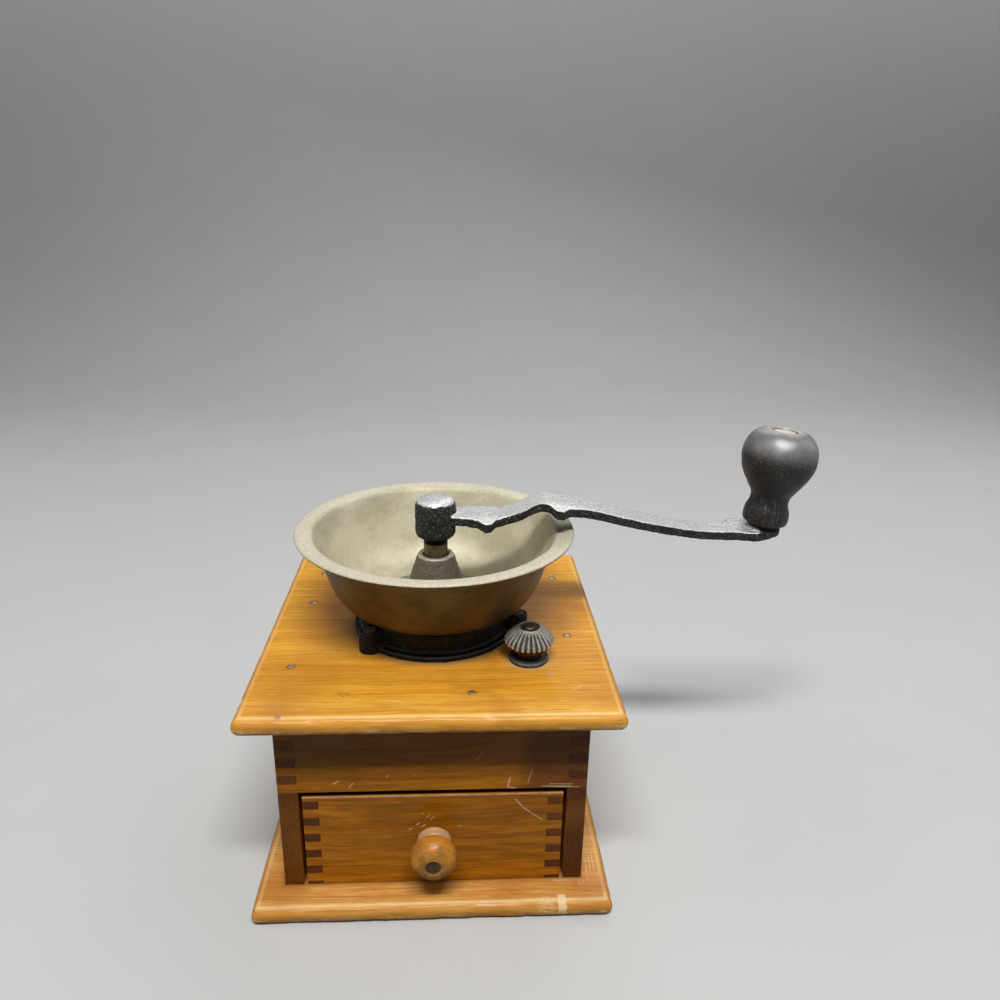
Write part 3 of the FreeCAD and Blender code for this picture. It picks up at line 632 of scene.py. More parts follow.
def top_paint():
    """Amber, reddened at the left, with dust round the ring and the nut's washer, a painted bowl shadow and
    painted light.
    """
    paint, (x, y, z), shade, height, fine, worn = board_paint(
        "amber_board", top_low, top_high, seed=3.0, pale=amber, deep=amber_deep, marks=top_marks)
    red = away(x, y, front_stain).step(30.0, 5.0) + away(x, y, left_stain).step(42.0, 8.0) * 0.6
    shade = paint.mix(shade, amber_red, red * 0.30)
    stain = 0.0
    for nail in nail_places:
        if nail != sunk_nail:
            stain = stain + away(x, y, nail).step(3.0, 1.4)
    shade = paint.mix(shade, nail_stain, stain * 0.55)
    filled = away(x, y, filled_dent).step(2.6, 1.0) * fine.step(0.30, 0.60)
    shade = paint.mix(shade, filler_tan, filled * 0.7)
    ring = length(x, y)
    dust = ring.step(ring_foot + 9.0, ring_foot + 1.5) * 0.6 + ring.step(ring_foot + 4.5, ring_foot + 2.5)
    dust = dust * ring.step(ring_foot, ring_foot + 1.5)
    washer = away(x, y, (nut_x, nut_y))
    dust = largest(dust * 0.5, washer.step(15.0, 10.2) * 0.7) * fine.step(0.35, 0.6)
    shade = paint.mix(shade, bean_dust, dust * 0.7)
    # Darker within a few millimetres of the ring's foot.
    shade = paint.mix(shade, ring_foot_dark, ring.step(ring_foot + 7.0, ring_foot) * 0.35)
    # Painted shadow of the bowl: a darker ring round it, fading out towards the front edge.
    painted_bowl_shadow = ring.step(86.0, 66.0) * (y + 74.0).step(0.0, 14.0)
    shade = paint.mix(shade, amber_red, painted_bowl_shadow * 0.22)
    # Painted light: the board is lighter towards its front edge.
    shade = paint.mix(shade, painted_light_amber, (y + 68.0).step(0.0, -12.0) * 0.10)
    knot = away(x, y, knot_place).step(2.2, 0.8)
    shade = paint.mix(shade, knot_brown, knot * 0.8)
    gloss = paint.noise(x * 0.05, y * 0.05, z * 0.05, detail=3.0)
    paint.feed(Base_Color=shade, Roughness=0.33 + worn * 0.25 + dust * 0.3 + gloss * 0.12,
               Coat_Weight=0.16 - worn * 0.12 - dust * 0.1)
    paint.bump(height * 0.45 + fine * 0.25 - worn * 0.5, 0.10)
    return paint.material


base_marks = [((76.0, -79.0), (76.6, -70.0), 0.3), ((78.3, -76.0), (79.2, -62.0), 0.22),
              ((80.5, -74.0), (81.0, -60.0), 0.2), ((82.6, -70.0), (82.9, -57.0), 0.22),
              ((73.5, -80.5), (73.8, -76.2), 0.3), ((60.0, -76.6), (75.6, -76.4), 0.6),
              ((-60.0, -84.0), (-38.0, -85.0), 0.2), ((-86.0, -60.0), (-85.0, -38.0), 0.25),
              ((20.0, -90.0), (31.0, -90.4), 0.25)]
right_corner = (78.0, -80.0)
left_corner = (-74.0, -78.0)
bare_patch = 63.6
smudge_place = 56.0
case_foot_dark = colour(0.22, 0.09, 0.02)


def base_paint():
    """Tan, red at the front corners, darker round the case's foot and bare in one patch of the nose."""
    paint, (x, y, z), shade, height, fine, worn = board_paint(
        "amber_base", base_low, base_high, seed=11.0, pale=tan, deep=tan_deep, marks=base_marks)
    corner = away(x, y, right_corner).step(16.0, 4.0) + away(x, y, left_corner).step(18.0, 4.0)
    shade = paint.mix(shade, amber_red, corner * 0.45)
    wobble = (fine - 0.5) * 3.0
    nose = (y + 85.6).step(0.6, -0.6)
    patch = abs(x - bare_patch + wobble).step(2.3, 1.6) * nose
    smudge = abs(x - smudge_place + wobble * 2.0).step(6.0, 1.0) * (y + 87.0 + wobble).step(1.0, -0.5)
    shade = paint.mix(shade, bare_wood, largest(patch * 0.75, smudge * fine.step(0.40, 0.56) * 0.5))
    foot = largest(abs(x) - case_half, abs(y) - case_half)
    # Darker within a few millimetres of the case's foot.
    shade = paint.mix(shade, case_foot_dark, foot.step(3.0, 0.2) * 0.55)
    paint.feed(Base_Color=shade, Roughness=0.36 + worn * 0.25 + fine * 0.1, Coat_Weight=0.14 - worn * 0.1)
    paint.bump(height * 0.45 + fine * 0.25 - worn * 0.5, 0.10)
    return paint.material


top_wood = top_paint()
base_wood = base_paint()


# %% The boards
def dented_board(name, node, paint):
    """The frame's board, sliced into small faces, with shallow dents along its nose."""
    low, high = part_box(node)
    bm = frame_copy(node)
    sliced(bm, 0, low.x, high.x, 3.0)
    sliced(bm, 1, low.y, high.y, 3.0)
    bm.normal_update()
    moves = {}
    for vert in bm.verts:
        inset = min(vert.co.x - low.x, high.x - vert.co.x, vert.co.y - low.y, high.y - vert.co.y)
        if inset < 3.8 * mm:
            dent = max(0.0, noise.fractal(vert.co / mm * 0.22, 1.0, 2.0, 3) - 0.05)
            moves[vert] = vert.normal * -min(0.40, dent * 0.75) * mm
    for vert, move in moves.items():
        vert.co += move
    piece(name, bm, "case", paint, [node])


dented_board("board_top", "top_board", top_wood)
dented_board("board_base", "base_board", base_wood)

# %% [markdown]
# ### The case and the drawer
# The panels meet in finger joints, where one board's long grain lies beside the other's dark end grain.
# Easing every arris by a few tenths of a millimetre draws each joint as a fine line.

# %% Case varnish
rail_marks = [((37.2, 72.7), (35.9, 65.9), 0.45), ((35.9, 66.4), (40.6, 65.6), 0.55),
              ((48.0, 77.3), (45.7, 68.3), 0.22), ((-48.7, 69.9), (-45.3, 71.9), 0.45),
              ((-41.0, 67.2), (-38.6, 70.8), 0.30), ((52.0, 66.6), (67.5, 66.2), 0.38),
              ((56.0, 67.9), (68.5, 67.5), 0.25), ((59.0, 65.9), (71.5, 65.6), 0.30),
              ((-66.0, 84.0), (-65.0, 80.0), 0.25), ((20.0, 82.0), (24.0, 87.0), 0.2),
              ((-23.0, 73.5), (-21.6, 74.6), 0.5), ((-9.6, 74.4), (-8.6, 74.2), 0.5)]
drawer_marks = [((39.7, 59.4), (43.5, 54.3), 0.42), ((43.5, 54.3), (48.2, 50.3), 0.55),
                ((48.0, 50.4), (53.9, 46.1), 0.40), ((-12.9, 41.6), (-10.4, 42.6), 0.5),
                ((-9.0, 44.6), (-6.6, 45.9), 0.5), ((-6.6, 43.2), (-4.2, 45.0), 0.45),
                ((-4.0, 48.8), (-1.6, 50.6), 0.35), ((-1.8, 47.6), (0.4, 49.9), 0.35),
                ((-6.2, 50.6), (-5.0, 52.0), 0.35), ((12.0, 43.2), (13.6, 43.8), 0.45),
                ((-64.4, 40.5), (-64.0, 35.5), 0.7)]
side_marks = [((-40.0, 30.0), (-20.0, 33.0), 0.3), ((10.0, 60.0), (14.0, 72.0), 0.25),
              ((30.0, 22.0), (46.0, 20.0), 0.35), ((-60.0, 88.0), (-46.0, 86.0), 0.3)]
rubbed_line = colour(0.56, 0.34, 0.20)


def panel_paint(name, grain, seed, marks=(), on_side=False, pale=brown, deep=brown_deep, end=end_brown,
                worn_line_and_gap_shade=False, dark_end=None, painted_shade_from=None):
    """Brown varnish. The marks are scratches on the front, or on the sides if on_side.

    The top-line flag bares the arris along the drawer's top and paints shade on its top face, under the
    rail.
    The wood reddens to the right from x = dark_end, and the overhang's painted shade darkens it above a
    height.
    """
    paint, (x, y, z), shade, height = wood(name, grain, pale, deep, end, seed)
    fine = paint.noise(x * 0.8, y * 0.8, z * 0.8 + seed, detail=4.0, roughness=0.7)
    cloud = paint.noise(x * 0.03 + seed, y * 0.03, z * 0.03, detail=3.0)
    shade = paint.mix(shade, deep, cloud.step(0.45, 0.75) * 0.5)
    if dark_end:
        shade = paint.mix(shade, red_brown, x.step(dark_end, dark_end + 16.0) * 0.72)
    # Painted shade: the shadow of the top board's overhang is painted darker above the given height.
    if painted_shade_from:
        shade = paint.mix(shade, darker(deep, 0.35), z.step(painted_shade_from, painted_shade_from + 7.0) * 0.5)
    worn = fine.step(0.70, 0.76) * 0.5
    if marks:
        normal = paint.facing()[0 if on_side else 1]
        face = abs(normal).step(0.5, 0.8)
        worn = largest(worn, scratched(paint, y if on_side else x, z, marks) * face)
    if worn_line_and_gap_shade:
        top = face_high.z / mm
        front = face_low.y / mm
        arris = length(z - top + 0.1, y - front).step(0.9, 0.3)
        line = arris * paint.noise(x * 0.22, z, 0.0, detail=4.0, roughness=0.7).step(0.25, 0.62)
        shade = paint.mix(shade, rubbed_line, line * 0.8)
        # Painted shade: the drawer front's top face, in the gap under the rail, is painted dark.
        painted_gap_shade = (y - front - 0.6).step(0.0, 1.0) * (z - top + 0.5).step(0.0, 0.3)
        shade = paint.mix(shade, darker(deep, 0.25), painted_gap_shade)
    shade = paint.mix(shade, bare_wood, worn * 0.62)
    paint.feed(Base_Color=shade, Roughness=0.33 + fine * 0.15 + worn * 0.2, Coat_Weight=0.12 - worn * 0.1)
    paint.bump(height * 0.45 + fine * 0.25 - worn * 0.4, 0.10)
    return paint.material


rail_wood = panel_paint("brown_rail", grain=0, seed=5.0, marks=rail_marks, dark_end=36.0, painted_shade_from=78.0)
back_wood = panel_paint("brown_back", grain=0, seed=23.0)
left_wood = panel_paint("brown_left", grain=1, seed=8.0, marks=side_marks, on_side=True)
right_wood = panel_paint("brown_right", grain=1, seed=31.0, marks=side_marks, on_side=True, end=red_brown)
front_wood = panel_paint("brown_drawer", grain=0, seed=14.0, marks=drawer_marks, worn_line_and_gap_shade=True)
slide_wood = panel_paint("brown_slide", grain=1, seed=19.0, end=colour(0.12, 0.032, 0.006))
tray_wood = panel_paint("plain_tray", grain=1, seed=17.0, pale=colour(0.60, 0.38, 0.16),
                        deep=colour(0.42, 0.22, 0.07))

# %% The joiner's pieces
joinery = [("rail", "front_rail", "case", "case_wood", rail_wood),
           ("panel_back", "back_panel", "case", "case_wood", back_wood),
           ("panel_left", "side_panel_left", "case", "case_wood", left_wood),
           ("panel_right", "side_panel_right", "case", "case_wood", right_wood),
           ("drawer_face", "drawer_front", "drawer", "drawer_wood", front_wood),
           ("drawer_left", "drawer_side_left", "drawer", "drawer_wood", slide_wood),
           ("drawer_right", "drawer_side_right", "drawer", "drawer_wood", slide_wood),
           ("drawer_rear", "drawer_back", "drawer", "drawer_wood", front_wood)]
for name, node, body, slot, paint in joinery:
    piece(name, eased(node, 0.25, shortest=1.5), body, paint, [node], sharp=20.0)

# %% [markdown]
# ### The turned pull
# The pull was turned on a lathe and shows its end grain to the front, with rings about the bolt. Years of
# fingers have taken its varnish off in front, and it is darker towards the bottom. Its outline is spun and
# laid down.


# %% The pull's finish
pull_pale = colour(0.64, 0.27, 0.030)
pull_deep = colour(0.32, 0.10, 0.008)
bald_wood = colour(0.24, 0.115, 0.035)
pull_ring = colour(0.50, 0.28, 0.08)
pull_lower_dark = colour(0.12, 0.055, 0.020)
bolt_dirt = colour(0.05, 0.03, 0.015)
neck_tan = colour(0.50, 0.33, 0.20)
pull_fleck = colour(0.62, 0.46, 0.28)


def pull_paint():
    """Varnish with bald patches, two dark rings and a dirty bolt hole in front, and a tan neck."""
    paint = Paint("pull_wood", Coat_Roughness=0.25, Specular_IOR_Level=0.15)
    x, y, z = paint.place()
    middle = (pull_low.z + pull_high.z) / 2 / mm
    off_axis = length(x, z - middle)
    fine = paint.noise(x * 0.9, y * 0.9, z * 0.9, detail=4.0, roughness=0.7)
    cloud = paint.noise(x * 0.14, y * 0.14, z * 0.14, detail=3.0)
    rings = paint.noise(off_axis * 1.1 + cloud * 2.0, y * 0.3, 0.0, detail=3.0)
    fibres = paint.noise(x * 2.6, y * 0.2, z * 2.6, detail=3.0)
    shade = paint.mix(pull_pale, pull_deep,
                      rings.step(0.3, 0.7) * 0.5 + fibres.step(0.4, 0.7) * 0.4)
    front = (pull_low.y / mm + 8.6 - y).step(0.0, 4.0)
    bald = cloud.step(0.40, 0.62) * front
    shade = paint.mix(shade, bald_wood, bald * 0.7)
    ring_marks = abs(off_axis - 6.4).step(0.8, 0.2) + abs(off_axis - 4.6).step(0.5, 0.1)
    shade = paint.mix(shade, pull_ring, ring_marks * front * (fine * 0.9) * 0.7)
    # Darker towards the bottom of the pull.
    shade = paint.mix(shade, pull_lower_dark, (middle - z).step(2.0, 10.0) * 0.55)
    dark = off_axis.step(4.2, 3.2) * front
    shade = paint.mix(shade, bolt_dirt, dark * 0.9)
    shade = paint.mix(shade, neck_tan, (y - pull_low.y / mm).step(11.5, 14.5) * 0.6)
    shade = paint.mix(shade, pull_fleck, fine.step(0.66, 0.72) * 0.5)
    paint.feed(Base_Color=shade, Roughness=0.36 + bald * 0.25 + fine * 0.12, Coat_Weight=0.22 - bald * 0.2)
    paint.bump(fine * 0.6 + fibres * 0.3 + rings * 0.3, 0.14)
    return paint.material


# %% The pull
pull_reach = (pull_high.y - pull_low.y) / mm - 0.1
pull_half = (pull_high.x - pull_low.x) / 2 / mm
pull_line = ([(2.4, 0.0), (8.0, 0.0), (8.6, 0.5), (8.6, 1.3)]
             + flowing([(8.1, 1.9), (6.7, 3.2), (6.5, 4.6), (7.8, 5.9), (10.0, 7.6), (11.3, 9.8),
                        (pull_half, 11.8), (10.9, 14.4), (8.9, 16.9), (6.2, 18.4), (4.4, pull_reach)], 5)
             + [(3.7, pull_reach - 0.6), (2.4, pull_reach - 0.6)])
pull = turned(pull_line, closed=True, steps=72)
roughened(pull, 0.16, 0.35, 2.0)
bmesh.ops.rotate(pull, verts=pull.verts[:], cent=(0, 0, 0), matrix=Matrix.Rotation(pi / 2, 3, "X"))
moved(pull, 0.0, pull_high.y / mm, (pull_low.z + pull_high.z) / 2 / mm)
piece("pull", pull, "drawer", pull_paint(), ["drawer_knob"], sharp=50.0)

# %% [markdown]
# ## The bowl
# The bowl is spun pewter-coloured sheet with a flat rolled rim. Inside, dry beans have peppered it with
# fine pale specks; outside, it is painted dark brown gold, a painted reflection of the wooden board and
# painted shade. Which side a place is on follows from the way its surface faces.


# %% Pewter
pewter_light = colour(0.66, 0.61, 0.44)
pewter_dull = colour(0.46, 0.42, 0.28)
pale_grain = colour(0.86, 0.83, 0.70)
dark_grain = colour(0.24, 0.22, 0.14)
dark_grit = colour(0.20, 0.18, 0.11)
painted_reflection_brown = colour(0.125, 0.088, 0.036)
painted_reflection_deep = colour(0.070, 0.046, 0.017)
painted_reflection_fleck = colour(0.18, 0.13, 0.07)
rim_light = colour(0.72, 0.66, 0.53)
rim_dull = colour(0.52, 0.46, 0.34)


def pewter_paint():
    """Speckled pewter inside, a painted dark brown-gold reflection and shade where the sheet faces out or
    down, and a paler rim.
    """
    paint = Paint("pewter")
    x, y, z = paint.place()
    facing_x, facing_y, facing_z = paint.facing()
    outward = (x * facing_x + y * facing_y) / largest(length(x, y), 1.0)
    off_axis = length(x, y)
    under = facing_z.step(0.25, -0.15) * (off_axis - 20.0).step(0.0, 5.0) * outward.step(0.2, 0.5)
    speck = paint.noise(x * 1.5, y * 1.5, z * 1.5, detail=3.0, roughness=0.75)
    grit = paint.noise(x * 5.0, y * 5.0, z * 5.0, detail=2.0)
    stain = paint.noise(x * 0.035, y * 0.035, z * 0.05, detail=4.0, roughness=0.6)
    around = paint.noise(off_axis * 1.6, z * 1.6, 0.0, detail=2.0)
    grain = paint.noise(x * 0.85, y * 0.85, z * 0.85, detail=4.0, roughness=0.75)
    inside = paint.mix(pewter_light, pewter_dull, stain.step(0.36, 0.68))
    inside = paint.mix(inside, pale_grain, grain.step(0.54, 0.70) * 0.40)
    inside = paint.mix(inside, dark_grain, grain.step(0.46, 0.30) * 0.35)
    inside = paint.mix(inside, dark_grit, grit.step(0.60, 0.72) * 0.25)
    # Painted reflection of the wooden board and painted shade: where the sheet faces out or down it is dark
    # brown gold.
    outside = paint.mix(painted_reflection_brown, painted_reflection_deep, stain.step(0.36, 0.68))
    outside = paint.mix(outside, painted_reflection_fleck, speck.step(0.60, 0.70) * 0.25)
    shade = paint.mix(inside, outside, under)
    rim = (off_axis - 65.2).step(0.0, 0.8) * (1.0 - under)
    rolled = paint.mix(rim_light, rim_dull, grain.step(0.66, 0.36))
    shade = paint.mix(shade, rolled, rim * 0.8)
    paint.feed(Base_Color=shade, Roughness=0.46 + stain * 0.1 + grit * 0.12 - under * 0.10,
               Metallic=0.22 + under * 0.58)
    paint.bump(grain * 0.5 + speck * 0.4 + grit * 0.25 + around * 0.15, 0.12)
    return paint.material


pewter = pewter_paint()

# %% The bowl
rim_radius = bowl_high.x / mm
rim_top = bowl_high.z / mm
floor_low = bowl_low.z / mm
sheet = 1.2
hole_radius = 24.0
floor_radius = 31.5
wall_curve = 26.0
curve_middle = floor_low + wall_curve
curve_angles = [radians(8.0 * n) for n in range(10)]


def wall_arc(radius):
    """The bowl's rounded lower wall, from the floor outwards."""
    return [(floor_radius + radius * sin(a), curve_middle - radius * cos(a)) for a in curve_angles]


bowl_line = [(hole_radius, floor_low), (hole_radius + 4.0, floor_low)] + wall_arc(wall_curve)
bowl_line += flowing([(58.4, floor_low + 24.6), (61.0, floor_low + 32.2), (63.6, floor_low + 39.7),
                      (64.9, floor_low + 42.3), (66.6, rim_top - 1.7)], 3)
bowl_line += [(rim_radius - 0.9, rim_top - 1.8), (rim_radius - 0.25, rim_top - 1.5),
              (rim_radius, rim_top - 0.9), (rim_radius - 0.25, rim_top - 0.25),
              (rim_radius - 0.9, rim_top), (rim_radius - 3.0, rim_top - 0.15)]
bowl_line += flowing([(65.6, rim_top - 0.7), (64.1, rim_top - 1.2), (62.9, floor_low + 41.0),
                      (60.0, floor_low + 32.8), (57.3, floor_low + 24.9)], 3)
bowl_line += reversed(wall_arc(wall_curve - sheet))
bowl_line += [(hole_radius + 4.0, floor_low + sheet), (hole_radius, floor_low + sheet)]
bowl = turned(bowl_line, closed=True, steps=192)
for vert in bowl.verts:
    beaten = noise.noise(vert.co / mm * 0.045) * 0.22 * mm
    vert.co += Vector((vert.co.x, vert.co.y, 0.0)).normalized() * -abs(beaten)
piece("bowl", bowl, "case", pewter, ["hopper_bowl"], sharp=50.0)

# %% [markdown]
# ## Castings
# Sand leaves cast iron grainy, and rounds every inner corner. Hands polish what they rub, and every upward
# face is also painted lighter, with a painted highlight on its upper edges: the crank's top is bright up to
# the handle's painted shadow, its sides are black with bright grains, and the tower is a dull brown grey.


# %% Cast iron
bright_sand = colour(0.34, 0.33, 0.31)
rust_red = colour(0.16, 0.065, 0.028)
bare_iron_and_highlight = colour(0.94, 0.94, 0.92)


def iron_paint(name, side, top, polish, grain, rust=0.0, handle_shadow_from=None):
    """Rubbed and painted bright where it faces up, by `polish`, with a painted shadow past an x if one is
    given, and grainy elsewhere.
    """
    paint = Paint(name, Specular_IOR_Level=0.3)
    x, y, z = paint.place()
    facing_up = paint.facing()[2]
    up = facing_up.step(0.30, 0.80)
    cast = paint.noise(x * grain, y * grain, z * grain, detail=4.0, roughness=0.7)
    sand = paint.noise(x * 2.6, y * 2.6, z * 2.6, detail=3.0, roughness=0.6)
    pits = paint.cells(x * 0.55, y * 0.55, z * 0.55).step(0.26, 0.12)
    cloud = paint.noise(x * 0.10, y * 0.10, z * 0.10, detail=3.0)
    worn_sand = paint.noise(x * 0.8, y * 0.8, z * 0.8, detail=4.0, roughness=0.75)
    # Partly rubbed wear and partly painted light: faces that point up take the lighter top colour.
    rubbed = up * (1.0 - pits * 0.6) * (0.70 + worn_sand.step(0.36, 0.62) * 0.30) * polish
    # Past the given x, where the handle stands over the arm, the top is left dark: a painted shadow of the
    # handle.
    if handle_shadow_from:
        rubbed = rubbed * x.step(handle_shadow_from, handle_shadow_from - 2.5)
    shade = paint.mix(side, darker(side, 0.45), cast.step(0.40, 0.60))
    coarse = paint.noise(x * 1.1, y * 1.1, z * 1.1, detail=4.0, roughness=0.75)
    grains = (1.0 - up) * coarse.step(0.53, 0.64) * cloud.step(0.25, 0.55)
    shade = paint.mix(shade, bright_sand, grains * 0.55 * polish)
    if rust:
        shade = paint.mix(shade, rust_red, cloud.step(0.45, 0.70) * rust)
    shade = paint.mix(shade, top, rubbed)
    # Partly rubbed wear and partly painted highlight: near-white along the upper edges.
    arris = facing_up.step(0.40, 0.62) * facing_up.step(0.985, 0.90) * rubbed
    shade = paint.mix(shade, bare_iron_and_highlight, arris * polish * 0.6)
    shade = paint.mix(shade, darker(top, 0.35), up * sand.step(0.62, 0.72) * 0.35)
    paint.feed(Base_Color=shade, Roughness=0.58 - rubbed * 0.26 + cast * 0.10,
               Metallic=0.35 + rubbed * 0.22)
    paint.bump(cast * (1.0 - up * polish * 0.7) + sand * 0.35 - pits * 0.35, 0.28)
    return paint.material


crank_iron = iron_paint("crank_iron", side=colour(0.028, 0.027, 0.026), top=colour(0.60, 0.60, 0.585),
                        polish=1.0, grain=0.9, handle_shadow_from=172.5)
tower_iron = iron_paint("tower_iron", side=colour(0.17, 0.150, 0.105), top=colour(0.44, 0.40, 0.30),
                        polish=0.6, grain=1.1)
ring_black = iron_paint("black_iron", side=colour(0.006, 0.0055, 0.005), top=colour(0.012, 0.011, 0.009),
                        polish=0.3, grain=0.6)
plain_iron = iron_paint("plain_iron", side=colour(0.09, 0.085, 0.075), top=colour(0.12, 0.115, 0.10),
                        polish=0.3, grain=0.7, rust=0.5)

# %% The ring that holds the bowl
ring = as_cast(frame_copy("grinder_body"), 0.8, 2)
roughened(ring, 0.25, 0.25, 7.0)
piece("cast_ring", ring, "case", ring_black, ["grinder_body"], sharp=180.0)

# %% The tower
bore_now = 6.6
bore_worn = 6.95
skirt_height = 142.0
skirt_radius = 14.75
top_radius = 10.1
now_top_radius = 8.0
tower_low, tower_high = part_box("bearing_tower")
tower_top = tower_high.z / mm
raised = 1.4
tower = frame_copy("bearing_tower")
sliced(tower, 2, tower_low.z, tower_high.z, 2.0)
for vert in tower.verts:
    off_axis = hypot(vert.co.x, vert.co.y) / mm
    height = vert.co.z / mm
    share = max(0.0, (height - skirt_height) / (tower_top - skirt_height))
    if off_axis < bore_now:
        vert.co.x *= bore_worn / off_axis
        vert.co.y *= bore_worn / off_axis
    elif share > 0.0:
        cone_now = skirt_radius + (now_top_radius - skirt_radius) * share
        cone = skirt_radius + (top_radius - skirt_radius) * share
        vert.co.x *= cone / cone_now
        vert.co.y *= cone / cone_now
    vert.co.z += raised * share * mm
tower = as_cast(tower, 0.45, 4)
roughened(tower, 0.18, 0.5, 3.0)
piece("tower", tower, "case", tower_iron, ["bearing_tower"], sharp=180.0)

# %% [markdown]
# ### The swan-necked crank
# The arm is a flat bar seen from above, with two pairs of pointed lobes, bent into a swan neck seen from
# the side. So its outline is filled as one face, extruded into a slab and sliced, and then each slice is
# lifted to the neck's height. The lobes droop, most on the near side. Last, slab, hub and boss are fused.

# %% The arm's outline and neck
arm_half = [(8, 8.0), (17, 9.6), (22, 11.2), (25.5, 14.2), (28.5, 14.0), (31.5, 10.4), (36, 8.9),
            (41, 8.4), (48, 9.0), (55, 9.0), (59, 10.6), (62, 14.4), (66, 14.6), (69.5, 11.6), (78, 9.9),
            (88, 8.9), (110, 8.3), (131, 7.7), (150, 7.1)]
arm_end = [(160, -7.5), (169.5, -10.0), (172.5, -9.2), (178.5, -6.2), (182.0, -4.0), (184.2, 0.5),
           (183.7, 6.0), (180.0, 10.8), (175.0, 13.0), (161.4, 13.7), (159.8, 13.0), (158.6, 8.6),
           (156.5, 7.3)]
neck_line = flowing([(4, 181.6), (22, 181.9), (34, 181.9), (44, 184.6), (51, 188.4), (57, 190.0),
                     (64, 189.4), (80, 186.4), (98, 181.7), (119, 177.1), (142, 173.5), (160, 173.2),
                     (175, 173.2), (190, 173.2)], 8)
arm_thickness = 5.2
lobe_start = 9.0
near_droop = 0.40
far_droop = 0.20


def neck_height(x):
    """The height of the arm's top at a distance from the shaft, in millimetres."""
    for (x0, z0), (x1, z1) in zip(neck_line, neck_line[1:]):
        if x0 <= x <= x1:
            return z0 + (z1 - z0) * (x - x0) / (x1 - x0)
    return neck_line[-1][1] if x > neck_line[-1][0] else neck_line[0][1]


# %% The slab, bent
arm = bmesh.new()
near_side = [(x, -y) for x, y in arm_half]
outline = near_side + arm_end + list(reversed(arm_half))
corners = [arm.verts.new((x * mm, y * mm, 0.0)) for x, y in outline]
plate = arm.faces.new(corners)
risen = bmesh.ops.extrude_face_region(arm, geom=[plate])["geom"]
bmesh.ops.translate(arm, verts=[v for v in risen if isinstance(v, bmesh.types.BMVert)],
                    vec=(0, 0, arm_thickness * mm))
bmesh.ops.recalc_face_normals(arm, faces=arm.faces[:])
arm_start = 8 * mm
arm_reach = 186 * mm
arm_side = 16 * mm
sliced(arm, 0, arm_start, arm_reach, 1.5)
sliced(arm, 1, -arm_side, arm_side, 2.0)
for vert in arm.verts:
    x = vert.co.x / mm
    y = vert.co.y / mm
    beyond = max(0.0, abs(y) - lobe_start) * (1.0 if x < 100.0 else 0.0)
    droop = beyond * (near_droop if y < 0 else far_droop)
    vert.co.z += (neck_height(x) - arm_thickness - droop) * mm

# %% Hub and boss, then one casting
hub_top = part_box("crank_arm")[1].z / mm
hub_foot = 168.3
bore_top = 182.9
bore_radius = 6.5
hub_line = ([(0.0, bore_top), (bore_radius, bore_top), (bore_radius, hub_foot), (8.5, hub_foot),
             (10.0, hub_foot + 0.6)]
            + flowing([(10.8, 170.8), (10.85, 174.2), (10.6, 177.0), (10.8, 178.8), (10.85, 182.0),
                       (10.75, 185.4), (9.9, 188.0), (8.0, 189.4), (5.5, hub_top - 0.1)], 4)
            + [(0.0, hub_top)])
hub = turned(hub_line, steps=64)
lean = Matrix.Translation(pin_place) @ Matrix.Rotation(pin_lean, 4, "Y")
washer_low, washer_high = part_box("knob_washer")
boss_radius = (washer_high.y - washer_low.y) / 2 / mm + 0.8
boss = bmesh.new()
boss_depth = 4.2
bmesh.ops.create_cone(boss, cap_ends=True, segments=48, radius1=boss_radius * mm, radius2=boss_radius * mm,
                      depth=boss_depth * mm)
moved(boss, 0.0, 0.0, -boss_depth / 2)
boss.transform(lean)
add_shape(arm, hub)
add_shape(arm, boss)
crank = as_cast(arm, 0.6, 3)
roughened(crank, 0.22, 0.5, 5.0)
piece("crank", crank, "crank", crank_iron, ["crank_arm"], sharp=180.0)

# %% [markdown]
# ### The regulating nut
# The nut is an umbrella of twenty-six ribs on a cone. It is turned plain first, and then every point of
# the umbrella is pushed in along its normal by a wave that goes round twenty-six times.

# %% The nut's finish
ribs = 26
rib_depth = 0.55
cast_black = colour(0.020, 0.017, 0.014)
cast_brown = colour(0.075, 0.045, 0.028)
cast_rubbed = colour(0.66, 0.64, 0.58)
hollow_black = colour(0.030, 0.026, 0.022)


def nut_paint():
    """Black in the grooves, rubbed along the ribs and bright on the rim, with a black hollow on top."""
    paint = Paint("nut_iron", Specular_IOR_Level=0.35)
    x, y, z = paint.place()
    side = x - nut_x
    depth = y - nut_y
    off_axis = length(side, depth)
    turn = calc("ARCTAN2", depth, side)
    rib = calc("COSINE", turn * ribs)
    cast = paint.noise(x * 0.9, y * 0.9, z * 0.9, detail=4.0, roughness=0.7)
    sand = paint.noise(x * 2.6, y * 2.6, z * 2.6, detail=3.0)
    dome = (z - (board_top + 10.2)).step(0.0, 0.8)
    groove = rib.step(-0.05, -0.80) * dome * off_axis.step(6.0, 7.5)
    crest = dome * (1.0 - groove) * (cast.step(0.30, 0.50) * 0.35 + 0.65)
    rim = abs(z - (board_top + 10.6)).step(1.2, 0.3) * rib.step(-0.6, 0.2)
    shade = paint.mix(cast_black, cast_brown, cast.step(0.45, 0.68))
    bright = largest(crest * 0.52, rim * 1.3)
    shade = paint.mix(shade, cast_rubbed, bright * (sand * 0.5 + 0.6))
    centre = off_axis.step(5.8, 4.6) * dome
    shade = paint.mix(shade, hollow_black, centre * 0.8)
    paint.feed(Base_Color=shade, Roughness=0.50 - bright * 0.12 + cast * 0.1, Metallic=0.35 + bright * 0.25)
    paint.bump(cast * 0.6 + sand * 0.4 - groove * 0.5, 0.18)
    return paint.material


